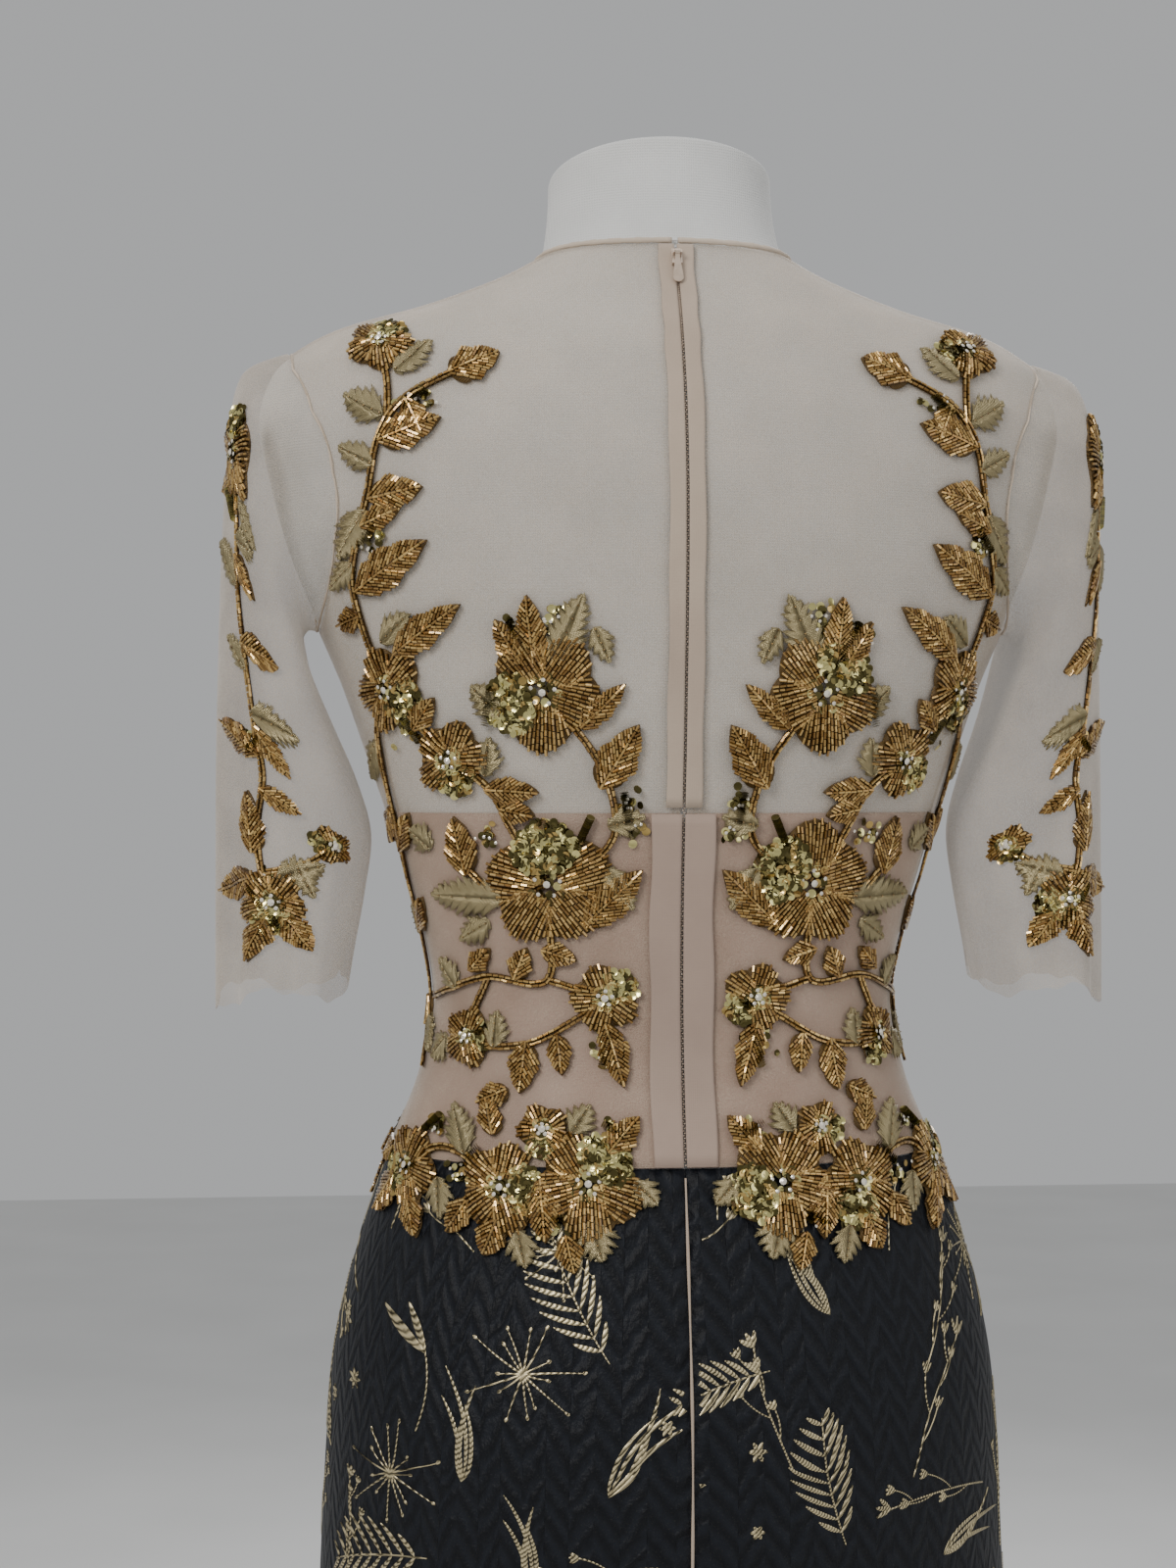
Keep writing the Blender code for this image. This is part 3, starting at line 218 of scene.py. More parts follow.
def rings_of(sections, wave, steps):
    """Rings of points from sections, the height first, from the centre back to the wearer's left."""
    table = resampled([tuple(section) for section in sections], steps)
    angle = 2 * math.pi * np.arange(FINE_COLUMNS) / FINE_COLUMNS
    rings = []
    for height, side, front, back, dip in table:
        grow = 1 + wave(angle, height) / side
        depth = np.where(np.cos(angle) > 0, back, front)
        x = side * grow * powered(np.sin(angle), 2 / SQUARENESS)
        y = depth * grow * powered(np.cos(angle), 2 / SQUARENESS)
        swell = np.exp(-((np.abs(x) - BUST_APART) ** 2 + (height - BUST_HEIGHT) ** 2) / (2 * BUST_SPREAD**2))
        y = y - np.where(np.cos(angle) < 0, BUST_OUT * swell * np.sqrt(np.abs(np.cos(angle))), 0)
        facing = (1 - np.cos(angle)) / 2
        rings.append(np.stack([x, y, height - dip * facing**3], axis=1))
    return np.array(rings)


def form_skin():
    rings = rings_of(FORM_SECTIONS, lambda angle, height: 0 * angle, FINE)
    slant = CAD_COLUMNS // 4 // 2 * FINE
    climb = [section.height for section in FORM_SECTIONS]
    for row in range(SHOULDER_ROW + 1, len(climb)):
        step = rings[row * FINE, slant] - rings[(row - 1) * FINE, slant]
        climb[row] = climb[row - 1] + float(np.linalg.norm(step))
    fine = np.interp(np.arange(len(rings)) / FINE, np.arange(len(climb)), climb)
    return Skin(rings, fine)


def fold_wave(angle, height):
    wave = 0 * angle
    for fold in SKIRT_FOLDS:
        away = (np.degrees(angle) - fold.degrees + 180) % 360 - 180
        fall = max(0, (fold.top - height) / (fold.top - HEM))
        wave = wave + fold.depth * fall**1.3 * np.exp(-((away / fold.spread) ** 2))
    return wave


# Soft troughs pressed into the skirt: angle and height of the middle, length, slant, width, depth
Crease = namedtuple("Crease", "degrees height long slant wide deep")
SKIRT_CREASES = (
    Crease(38, 0.905, 0.070, 0.25, 0.012, 1.6), Crease(-44, 0.893, 0.085, -0.30, 0.013, 1.7),
    Crease(66, 0.840, 0.090, 0.50, 0.014, 2.0), Crease(-70, 0.826, 0.075, -0.45, 0.013, 1.8),
    Crease(16, 0.760, 0.120, 0.10, 0.016, 1.5), Crease(-20, 0.742, 0.110, -0.12, 0.016, 1.5),
    Crease(112, 0.870, 0.080, -0.35, 0.013, 1.8), Crease(-118, 0.860, 0.085, 0.40, 0.014, 1.7),
    Crease(150, 0.780, 0.110, -0.15, 0.016, 1.5), Crease(-152, 0.770, 0.100, 0.18, 0.016, 1.5),
    Crease(90, 0.650, 0.130, 0.08, 0.018, 2.2), Crease(-92, 0.640, 0.120, -0.10, 0.018, 2.2),
)


def creased(angle, height):
    dent = 0 * angle
    for crease in SKIRT_CREASES:
        along = (height - crease.height) / crease.long
        centre = math.radians(crease.degrees) + crease.slant * along * 0.25
        away = ((angle - centre + math.pi) % (2 * math.pi) - math.pi) * 0.16 / crease.wide
        dent = dent - crease.deep * MM * math.exp(-2.2 * along**2) * np.exp(-(away**2))
    return dent


def skirt_skin():
    top = FORM_SECTIONS[SEAM_ROW]._replace(height=SKIRT_SEAM - 0.5 * MM)
    sections = SKIRT_FALL + FORM_SECTIONS[1:SEAM_ROW] + (top,)
    rings = rings_of(
        sections, lambda angle, height: fold_wave(angle, height) + creased(angle, height) * (height < 0.69),
        8)
    climb = np.interp(np.arange(len(rings)) / 8, np.arange(len(sections)), [s.height for s in sections])
    return Skin(rings, climb)


# Long soft folds of a sleeve: where each runs round it, how wide and deep it is, and where it fades
SLEEVE_FOLDS = (
    Fold(12, 11, 0.0030, 1.30), Fold(41, 9, -0.0032, 1.24), Fold(68, 12, 0.0036, 1.33),
    Fold(97, 9, -0.0030, 1.26), Fold(121, 8, 0.0020, 1.18), Fold(158, 12, 0.0028, 1.22),
    Fold(196, 9, -0.0026, 1.20), Fold(231, 11, 0.0034, 1.28), Fold(262, 8, -0.0030, 1.24),
    Fold(290, 12, 0.0036, 1.34), Fold(322, 9, -0.0028, 1.27), Fold(345, 8, 0.0018, 1.17),
)


def side_of_form(y, z):
    heights = [section.height for section in FORM_SECTIONS]
    side = np.interp(z, heights, [section.side for section in FORM_SECTIONS])
    depths = [section.back if y > 0 else section.front for section in FORM_SECTIONS]
    share = min(1, abs(y) / np.interp(z, heights, depths))
    return float(side * (1 - share**SQUARENESS) ** (1 / SQUARENESS))


def sleeve_skin():
    angles = 2 * math.pi * np.arange(SLEEVE_FINE) / SLEEVE_FINE
    rings = []
    for proud in (7 * MM, 3 * MM):
        y = ARM_Y + ARM_HALF_Y * np.sin(angles)
        z = ARM_Z + ARM_HALF_Z * np.cos(angles)
        x = np.array([side_of_form(a, b) for a, b in zip(y, z)]) + proud
        rings.append(np.stack([x, y, z], axis=1))
    lowest = SLEEVE_RINGS[-1].outer_z
    for ring in SLEEVE_RINGS:
        x = (ring.outer_x + ring.inner_x) / 2 + np.cos(angles) * (ring.outer_x - ring.inner_x) / 2
        z = (ring.outer_z + ring.inner_z) / 2 + np.cos(angles) * (ring.outer_z - ring.inner_z) / 2
        x = x - ring.bow * np.sin(angles) ** 2
        rings.insert(0, np.stack([x, ARM_Y + ring.half_depth * np.sin(angles), z], axis=1))
    climb = [lowest]
    for low, high in zip(rings, rings[1:]):
        climb.append(climb[-1] + float(np.linalg.norm(high[0] - low[0])))
    fine = resampled(rings, 8)
    for ring in fine:
        middle = ring.mean(axis=0)
        spoke = ring - middle
        spoke /= np.linalg.norm(spoke, axis=1, keepdims=True)
        height = ring[:, 2]
        wave = np.zeros(SLEEVE_FINE)
        for fold in SLEEVE_FOLDS:
            away = (np.degrees(angles) - fold.degrees + 180) % 360 - 180
            fall = np.clip((fold.top - height) / (fold.top - lowest), 0, 1)
            wave += fold.depth * fall**1.1 * np.exp(-((away / fold.spread) ** 2))
        ring += spoke * wave[:, None] - [0, 0, 0]
        fall = np.clip((1.12 - height) / (1.12 - lowest), 0, 1) ** 2
        ragged = 5.0 * np.sin(3 * angles + 0.6) + 1.6 * np.sin(8 * angles + 1.1) + 0.8 * np.sin(17 * angles)
        ring[:, 2] -= fall * ragged * MM
    rows = np.interp(np.arange(len(fine)) / 8, np.arange(len(climb)), climb)
    return Skin(fine, rows)


def net_in(row):
    """Height of the net over the form's skin, on rows counted as in the solids."""
    return np.interp(row, (LINING_ROW, LINING_ROW + 2), (NET_OVER_LINING, NET_OVER_FORM))


def net_out(row):
    return net_in(row) + NET_WALL


body, skirt, sleeve = form_skin(), skirt_skin(), sleeve_skin()
front = Skin(np.roll(body.rings, -body.half, axis=1), body.climb)


# meshes
def add_mesh(name, points, faces, smooth=True, uv=None, tone=None):
    """A mesh object from an array of points and an array, or list, of faces."""
    mesh = bpy.data.meshes.new(name)
    points = np.asarray(points, np.float32).reshape(-1, 3)
    if isinstance(faces, np.ndarray):
        sizes = np.full(len(faces), faces.shape[1], np.int32)
        corners = faces.astype(np.int32).ravel()
    else:
        sizes = np.array([len(face) for face in faces], np.int32)
        corners = np.array([index for face in faces for index in face], np.int32)
    mesh.vertices.add(len(points))
    mesh.vertices.foreach_set("co", points.ravel())
    mesh.loops.add(len(corners))
    mesh.loops.foreach_set("vertex_index", corners)
    mesh.polygons.add(len(sizes))
    mesh.polygons.foreach_set("loop_start", np.concatenate([[0], np.cumsum(sizes)[:-1]]).astype(np.int32))
    mesh.polygons.foreach_set("use_smooth", np.full(len(sizes), smooth))
    mesh.update(calc_edges=True)
    mesh.validate()
    if uv is not None:
        layer = mesh.uv_layers.new(name="UVMap")
        layer.data.foreach_set("uv", np.asarray(uv, np.float32)[corners].ravel())
    if tone is not None:
        colour = mesh.color_attributes.new("tone", "FLOAT_COLOR", "POINT")
        rgba = np.ones((len(points), 4), np.float32)
        rgba[:, :3] = np.asarray(tone, np.float32)
        colour.data.foreach_set("color", rgba.ravel())
    made = bpy.data.objects.new(name, mesh)
    bpy.context.collection.objects.link(made)
    return made


def grid_faces(high, wide, closed=False):
    row, column = np.mgrid[0:high - 1, 0:wide if closed else wide - 1]
    a = (row * wide + column).ravel()
    b = (row * wide + (column + 1) % wide).ravel()
    return np.stack([a, b, b + wide, a + wide], axis=1)


def finish(piece, surface, nodes=(), body_name=BODY):
    """Material, slot, the nodes it stands for, and the body it rides on."""
    piece.data.materials.append(surface)
    if nodes:
        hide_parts(*nodes)
    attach(piece, body_name)
    return piece


def oval(points):
    """Below 1 inside the armhole, seen from the side."""
    reach_y, reach_z = ARM_HALF_Y + 0.5 * MM, ARM_HALF_Z + 0.5 * MM
    value = ((points[..., 1] - ARM_Y) / reach_y) ** 2 + ((points[..., 2] - ARM_Z) / reach_z) ** 2
    return np.where(np.abs(points[..., 0]) > 0.1, value, 9.0)


def cut_size(grid):
    """Width and length of a sheet, measured along its rows and columns at their longest."""
    width = np.linalg.norm(np.diff(grid, axis=1), axis=2).sum(axis=1).max()
    length = np.linalg.norm(np.diff(grid, axis=0), axis=2).sum(axis=0).max()
    return round(float(width), 3), round(float(length), 3)


def panel(name, skin, rows, columns, out, surface, nodes, thick=0.0, armhole=False):
    """A sheet over a grid of rows and signed columns, a second layer of it under thick cloth."""
    row = np.repeat(np.asarray(rows, float)[:, None], columns.shape[1], axis=1)
    distance = np.repeat(np.asarray(out, float)[:, None], columns.shape[1], axis=1)
    column = columns.copy()
    faces = grid_faces(*row.shape)
    if armhole:
        value = oval(skin.at(row, column, distance)[0]).ravel()
        keep = (value[faces].mean(axis=1) > 1.0)
        edge = np.zeros(row.size, bool)
        edge[faces[~keep].ravel()] = True
        used = np.zeros(row.size, bool)
        used[faces[keep].ravel()] = True
        rim = (edge & used).reshape(row.shape)
        faces = faces[keep]
        for _ in range(8):
            here = oval(skin.at(row, column, distance)[0]) - 1
            by_row = (oval(skin.at(row + 0.02, column, distance)[0]) - 1 - here) / 0.02
            by_column = (oval(skin.at(row, column + 0.02, distance)[0]) - 1 - here) / 0.02
            size = np.maximum(by_row**2 + by_column**2, 1e-9)
            row = np.where(rim, row - np.clip(here * by_row / size, -0.5, 0.5), row)
            column = np.where(rim, column - np.clip(here * by_column / size, -0.5, 0.5), column)
    points = skin.at(row, column, distance)[0].reshape(-1, 3)
    cut_sizes[name] = cut_size(points.reshape(*row.shape, 3))
    climb = np.interp(row, np.arange(skin.high), skin.climb)
    signed = np.sign(column) * np.abs(column) / skin.half * 0.4
    uv = np.stack([signed.ravel() * 2, climb.ravel()], axis=1)
    if thick:
        under = skin.at(row, column, distance - thick)[0].reshape(-1, 3)
        count = len(points)
        high, wide = row.shape
        rim = list(range(wide)) + [r * wide + wide - 1 for r in range(1, high)]
        rim += [(high - 1) * wide + k for k in range(wide - 2, -1, -1)]
        rim += [r * wide for r in range(high - 2, 0, -1)]
        side = np.array([(b, a, a + count, b + count) for a, b in zip(rim, rim[1:] + rim[:1])])
        faces = np.concatenate([faces, faces[:, ::-1] + count, side])
        points = np.concatenate([points, under])
        uv = np.concatenate([uv, uv])
    return finish(add_mesh(name, points, faces, uv=uv), surface, nodes)


def spread(start, end, count):
    """Signed columns from one edge to the other, for each row."""
    share = np.linspace(0, 1, count)[None, :]
    start, end = np.asarray(start, float)[:, None], np.asarray(end, float)[:, None]
    return start * (1 - share) + end * share


def tube(centres, radius, sides, closed=False, squash=1.0, up=None):
    """A round strip along points, its radius a number or one for each point."""
    centres = np.asarray(centres, float)
    radius = np.broadcast_to(np.asarray(radius, float), (len(centres),))
    if closed:
        ahead = np.roll(centres, -1, 0) - np.roll(centres, 1, 0)
    else:
        ahead = np.gradient(centres, axis=0)
    ahead /= np.linalg.norm(ahead, axis=1, keepdims=True)
    up = np.asarray((0, 0, 1.0) if up is None else up, float)
    side = np.cross(ahead, up)
    side /= np.linalg.norm(side, axis=1, keepdims=True)
    lift = np.cross(side, ahead)
    angle = 2 * math.pi * np.arange(sides) / sides
    points = (centres[:, None] + radius[:, None, None]
              * (np.cos(angle)[None, :, None] * side[:, None]
                 + squash * np.sin(angle)[None, :, None] * lift[:, None]))
    count = len(centres)
    faces = list(map(tuple, grid_faces(count, sides, closed=True)))
    if closed:
        last = (count - 1) * sides
        faces += [(last + k, last + (k + 1) % sides, (k + 1) % sides, k) for k in range(sides)]
    else:
        faces += [tuple(range(sides))[::-1], tuple(range((count - 1) * sides, count * sides))]
    return points.reshape(-1, 3), faces


# materials
class Nodes:
    """Short hand for a node tree with one Principled shader."""

    def __init__(self, name):
        self.material = bpy.data.materials.new(name)
        self.material.use_nodes = True
        self.tree = self.material.node_tree
        self.shader = self.tree.nodes["Principled BSDF"]

    def add(self, kind, settings=None, **inputs):
        node = self.tree.nodes.new("ShaderNode" + kind)
        for key, value in (settings or {}).items():
            setattr(node, key, value)
        for key, value in inputs.items():
            numbered = key[0] == "i" and key[1:].isdigit()
            socket = node.inputs[int(key[1:]) if numbered else key.replace("_", " ")]
            if isinstance(value, bpy.types.NodeSocket):
                self.tree.links.new(value, socket)
            else:
                socket.default_value = value
        return node

    def math(self, operation, a, b=0.0, clamp=False):
        return self.add("Math", {"operation": operation, "use_clamp": clamp}, i0=a, i1=b).outputs[0]

    def ramp(self, value, *stops):
        node = self.add("ValToRGB", i0=value)
        elements = node.color_ramp.elements
        while len(elements) < len(stops):
            elements.new(0.5)
        for element, (place, colour) in zip(elements, stops):
            element.position = place
            element.color = (*colour, 1)
        return node.outputs[0]

    def mix(self, share, a, b):
        node = self.add("MixRGB", i0=share, i1=a, i2=b)
        return node.outputs[0]

    def noise(self, where, scale, detail=3.0, rough=0.5):
        return self.add("TexNoise", Vector=where, Scale=scale, Detail=detail, Roughness=rough).outputs[0]

    def wave(self, where, scale, direction="X", distortion=0.0):
        node = self.add("TexWave", {"bands_direction": direction}, Vector=where, Scale=scale,
                        Distortion=distortion)
        return node.outputs[1]

    def where(self):
        return self.add("TexCoord").outputs["Object"]

    def uv(self):
        return self.add("UVMap").outputs[0]

    def link(self, value, socket):
        self.tree.links.new(value, self.shader.inputs[socket])

    def bump(self, height, strength, distance):
        node = self.add("Bump", Height=height, Strength=strength, Distance=distance)
        self.link(node.outputs[0], "Normal")

    def plain(self, **values):
        for key, value in values.items():
            self.shader.inputs[key.replace("_", " ")].default_value = value


def jersey_material():
    """White knitted jersey, with fine vertical ribs of stitches."""
    n = Nodes("white_jersey_knit")
    place = n.where()
    cloud = n.noise(place, 22.0, 4.0)
    ribs = n.wave(place, 260.0, "X")
    rows = n.wave(place, 220.0, "Z")
    knit = n.math("MULTIPLY", ribs, rows)
    base = n.ramp(cloud, (0.3, (0.60, 0.60, 0.585)), (0.7, (0.69, 0.69, 0.675)))
    n.link(n.mix(n.math("MULTIPLY", knit, 0.35), base, (0.48, 0.48, 0.47, 1)), "Base Color")
    n.bump(n.math("ADD", knit, n.math("MULTIPLY", cloud, 0.8)), 0.35, 0.0004)
    n.plain(Roughness=0.92, Sheen_Weight=0.35, Sheen_Roughness=0.6, Specular_IOR_Level=0.2)
    return n.material


def net_material(name, light, dark, thin, dense):
    """Sheer net: a soft grain, more solid where it is seen edge on."""
    n = Nodes(name)
    place = n.where()
    cells = n.add("TexVoronoi", {"feature": "DISTANCE_TO_EDGE"}, Vector=place, Scale=900.0).outputs[0]
    threads = n.ramp(cells, (0.02, (1, 1, 1)), (0.22, (0, 0, 0)))
    cloud = n.noise(place, 38.0, 4.0)
    edge_on = n.add("LayerWeight", Blend=0.35).outputs["Facing"]
    n.link(n.ramp(cloud, (0.3, dark), (0.72, light)), "Base Color")
    body_share = n.math("ADD", n.math("MULTIPLY", threads, 0.22), n.math("MULTIPLY", cloud, 0.16))
    share = n.math("ADD", n.math("ADD", body_share, thin),
                   n.math("MULTIPLY", n.math("POWER", edge_on, 2.0), dense), True)
    n.link(share, "Alpha")
    n.bump(threads, 0.2, 0.0002)
    n.plain(Roughness=0.75, Sheen_Weight=0.5, Sheen_Roughness=0.4, Specular_IOR_Level=0.25)
    return n.material


def satin_material(name, light, dark, rough):
    """Close satin with a fine cross weave and slow changes of tone."""
    n = Nodes(name)
    place = n.where()
    cloud = n.noise(place, 16.0, 4.0)
    threads = n.math("ADD", n.wave(place, 420.0, "Z", 0.6),
                     n.math("MULTIPLY", n.wave(place, 300.0, "X", 0.4), 0.5))
    n.link(n.mix(n.math("MULTIPLY", threads, 0.12), n.ramp(cloud, (0.3, dark), (0.7, light)), (*dark, 1)),
           "Base Color")
    n.bump(threads, 0.25, 0.0002)
    n.plain(Roughness=rough, Sheen_Weight=0.3, Sheen_Roughness=0.35, Specular_IOR_Level=0.45)
    return n.material


def brocade_material():
    """Blue-black crinkled brocade: a puckered herringbone ground with glints of thread."""
    n = Nodes("dark_brocade_cloth")
    place = n.uv()
    warp = n.noise(place, 60.0, 3.0)
    moved = n.add("VectorMath", {"operation": "MULTIPLY_ADD"},
                  i0=n.add("CombineXYZ", X=warp, Y=warp).outputs[0],
                  i1=(0.012, 0.012, 0), i2=place).outputs[0]
    ribs = n.wave(moved, 42.0, "DIAGONAL", 1.2)
    turned = n.add("Mapping", Vector=moved, Scale=(-1, 1, 1)).outputs[0]
    cross = n.wave(turned, 42.0, "DIAGONAL", 1.2)
    bands = n.wave(place, 9.0, "X", 0.3)
    switch = n.ramp(bands, (0.47, (0, 0, 0)), (0.53, (1, 1, 1)))
    herring = n.mix(switch, ribs, cross)
    pucker = n.noise(place, 130.0, 4.0, 0.65)
    height = n.math("ADD", n.math("MULTIPLY", herring, 0.7), n.math("MULTIPLY", pucker, 1.3))
    glint = n.ramp(n.noise(place, 900.0, 2.0), (0.62, (0, 0, 0)), (0.72, (1, 1, 1)))
    base = n.ramp(n.math("MULTIPLY", height, 0.5), (0.30, (0.0012, 0.0018, 0.0036)),
                  (0.80, (0.0075, 0.0095, 0.0145)))
    n.link(n.mix(n.math("MULTIPLY", glint, 0.10), base, (0.16, 0.15, 0.11, 1)), "Base Color")
    n.bump(height, 0.8, 0.0014)
    n.plain(Roughness=0.52, Sheen_Weight=0.03, Sheen_Roughness=0.4, Specular_IOR_Level=0.22)
    return n.material


def thread_material(name, light, dark, metal, rough, scale=520.0):
    """Embroidery or woven thread, in fine glossy strands."""
    n = Nodes(name)
    place = n.where()
    strands = n.wave(place, scale, "DIAGONAL", 2.0)
    cloud = n.noise(place, 140.0, 3.0)
    both = n.math("ADD", n.math("MULTIPLY", strands, 0.6), n.math("MULTIPLY", cloud, 0.6))
    n.link(n.ramp(both, (0.25, dark), (0.85, light)), "Base Color")
    n.bump(strands, 0.5, 0.0004)
    n.plain(Metallic=metal, Roughness=rough)
    return n.material


def bead_material(name, metal, rough, coat, shade=1.0):
    """Glossy beads, each with the tone its own points carry: its colour, and on bugles and seed beads a painted
    highlight and painted shade.
    """
    n = Nodes(name)
    tone = n.add("Attribute", {"attribute_name": "tone"}).outputs["Color"]
    cloud = n.noise(n.where(), 700.0, 2.0)
    n.link(n.mix(n.math("MULTIPLY", cloud, 0.35), tone, (0.12 * shade, 0.06 * shade, 0.012, 1)), "Base Color")
    n.bump(cloud, 0.15, 0.0002)
    n.plain(Metallic=metal, Roughness=rough, Coat_Weight=coat, Coat_Roughness=0.08)
    return n.material


def steel_material():
    n = Nodes("black_steel_coat")
    place = n.where()
    cloud = n.noise(place, 60.0, 5.0)
    fine = n.noise(place, 900.0, 2.0)
    n.link(n.ramp(cloud, (0.3, (0.016, 0.016, 0.017)), (0.7, (0.028, 0.028, 0.030))), "Base Color")
    n.link(n.math("ADD", n.math("MULTIPLY", cloud, 0.18), 0.30), "Roughness")
    n.bump(fine, 0.12, 0.0002)
    n.plain(Metallic=0.4)
    return n.material


def lacquer_material():
    n = Nodes("nude_lacquer_coat")
    place = n.where()
    cloud = n.noise(place, 300.0, 3.0)
    n.link(n.ramp(cloud, (0.3, (0.50, 0.39, 0.30)), (0.7, (0.60, 0.48, 0.38))), "Base Color")
    n.link(n.math("ADD", n.math("MULTIPLY", cloud, 0.15), 0.22), "Roughness")
    n.bump(n.noise(place, 1500.0, 2.0), 0.05, 0.0001)
    n.plain(Metallic=0.25, Coat_Weight=0.5, Coat_Roughness=0.12)
    return n.material


JERSEY = jersey_material()
NET = net_material("nude_net_sheer", (0.60, 0.49, 0.38), (0.47, 0.38, 0.28), 0.17, 0.55)
NET_SLEEVE = net_material("nude_net_sleeve", (0.62, 0.53, 0.43), (0.46, 0.38, 0.29), 0.14, 0.60)
NET_ROLLED = satin_material("nude_net_rolled", (0.62, 0.52, 0.42), (0.50, 0.41, 0.32), 0.7)
LINING = satin_material("rose_lining_satin", (0.44, 0.27, 0.215), (0.34, 0.205, 0.16), 0.48)
ZIP_CLOTH = satin_material("nude_zip_tape", (0.50, 0.40, 0.31), (0.40, 0.31, 0.24), 0.65)
BAND_CLOTH = satin_material("rose_band_satin", (0.415, 0.305, 0.245), (0.335, 0.245, 0.195), 0.6)
BROCADE = brocade_material()
# The skirt's gold thread runs from near black to bright gold in fine patches: partly broken thread over the
# dark ground, partly painted glints
GOLD_THREAD = thread_material("skirt_gold_thread", (0.66, 0.56, 0.34), (0.030, 0.024, 0.010), 0.7, 0.36,
                              260.0)
# The dark amber-brown ground under the beads, seen in the gaps between them: partly the beads' amber, partly
# painted shade between tightly packed beads
GROUND_PAINTED_SHADE = thread_material("applique_ground_amber_and_painted_shade", (0.15, 0.085, 0.018), (0.045, 0.022, 0.003), 0.3, 0.5)
PALE_THREAD = thread_material("pale_gold_thread", (0.50, 0.42, 0.24), (0.17, 0.135, 0.06), 0.55, 0.34, 900.0)
BEADS = bead_material("gold_bugle_beads", 0.7, 0.24, 0.6)
SEQUINS = bead_material("gold_sequins", 0.85, 0.16, 0.3)
CRYSTAL = bead_material("clear_crystals", 0.15, 0.05, 1.0, 4.0)
STEEL = steel_material()
LACQUER = lacquer_material()


# dress form
def add_form():
    rings = body.rings
    points = np.concatenate([rings.reshape(-1, 3), [(0, 0, FORM_BOTTOM)], [(0, 0, rings[-1][:, 2].mean())]])
    high, wide = rings.shape[:2]
    faces = [tuple(face) for face in grid_faces(high, wide, closed=True)]
    for k in range(wide):
        after = (k + 1) % wide
        faces.append((len(points) - 2, after, k))
        faces.append((len(points) - 1, (high - 1) * wide + k, (high - 1) * wide + after))
    torso = finish(add_mesh("form_torso_jersey", points, faces), JERSEY, ["form_torso"])
    mesh_sharp(torso)

    base_ring = rings[-1]
    middle = np.array((0, 0, float(base_ring[:, 2].mean())))
    angle = 2 * math.pi * np.arange(FINE_COLUMNS) / FINE_COLUMNS
    low = middle + (base_ring - middle) * 0.965 + (0, 0, GAP)
    lean, top, tilt, wide_top, deep_top = 0.012, 1.4840, 0.014, 0.0600, 0.0540
    high_ring = np.stack([wide_top * np.sin(angle), deep_top * np.cos(angle) - lean,
                          top + tilt * np.cos(angle)], axis=1)
    shares = resampled([(0, 0), (0.30, 0.12), (0.58, 0.30), (0.80, 0.52), (0.94, 0.76), (1, 1)], 9)
    stack = []
    for index, (share, height) in enumerate(shares):
        ring = low + (high_ring - low) * (share, share, height)
        seam = math.exp(-((index - 5.0) / 0.9) ** 2) * 1.0 * MM
        spoke = ring - ring.mean(axis=0)
        spoke[:, 2] = 0
        spoke /= np.linalg.norm(spoke, axis=1, keepdims=True)
        stack.append(ring + spoke * seam)
    crown_middle = np.array((0, -lean, top))
    rim = stack[-1]
    for inward, rise in ((0.995, 0.9), (0.98, 1.5), (0.955, 1.9), (0.93, 2.0), (0.90, 1.7), (0.6, 2.3),
                         (0.3, 2.8)):
        stack.append(crown_middle + (rim - crown_middle) * inward + (0, 0, rise * MM))
    points = np.concatenate([np.concatenate(stack), [middle + (0, 0, GAP)], [crown_middle + (0, 0, 3 * MM)]])
    count = len(stack)
    faces = [tuple(face) for face in grid_faces(count, FINE_COLUMNS, closed=True)]
    for k in range(FINE_COLUMNS):
        after = (k + 1) % FINE_COLUMNS
        faces.append((len(points) - 2, after, k))
        last = (count - 1) * FINE_COLUMNS
        faces.append((len(points) - 1, last + k, last + after))
    neck = finish(add_mesh("form_neck_jersey", points, faces), JERSEY, ["form_neck"])
    mesh_sharp(neck)


def mesh_sharp(piece):
    piece.data.set_sharp_from_angle(angle=math.radians(50))


# cloth
def fine_rows(low, high):
    return np.arange(low * FINE, high * FINE + 0.01)


def side_columns(skin, rows, gap):
    """The wearer's left side seam, in signed columns."""
    quarter = skin.columns // 4
    reach = np.array([np.interp(r, range(skin.high), skin.reach[1][:, quarter]) for r in rows])
    return skin.column_at(rows, reach + gap)


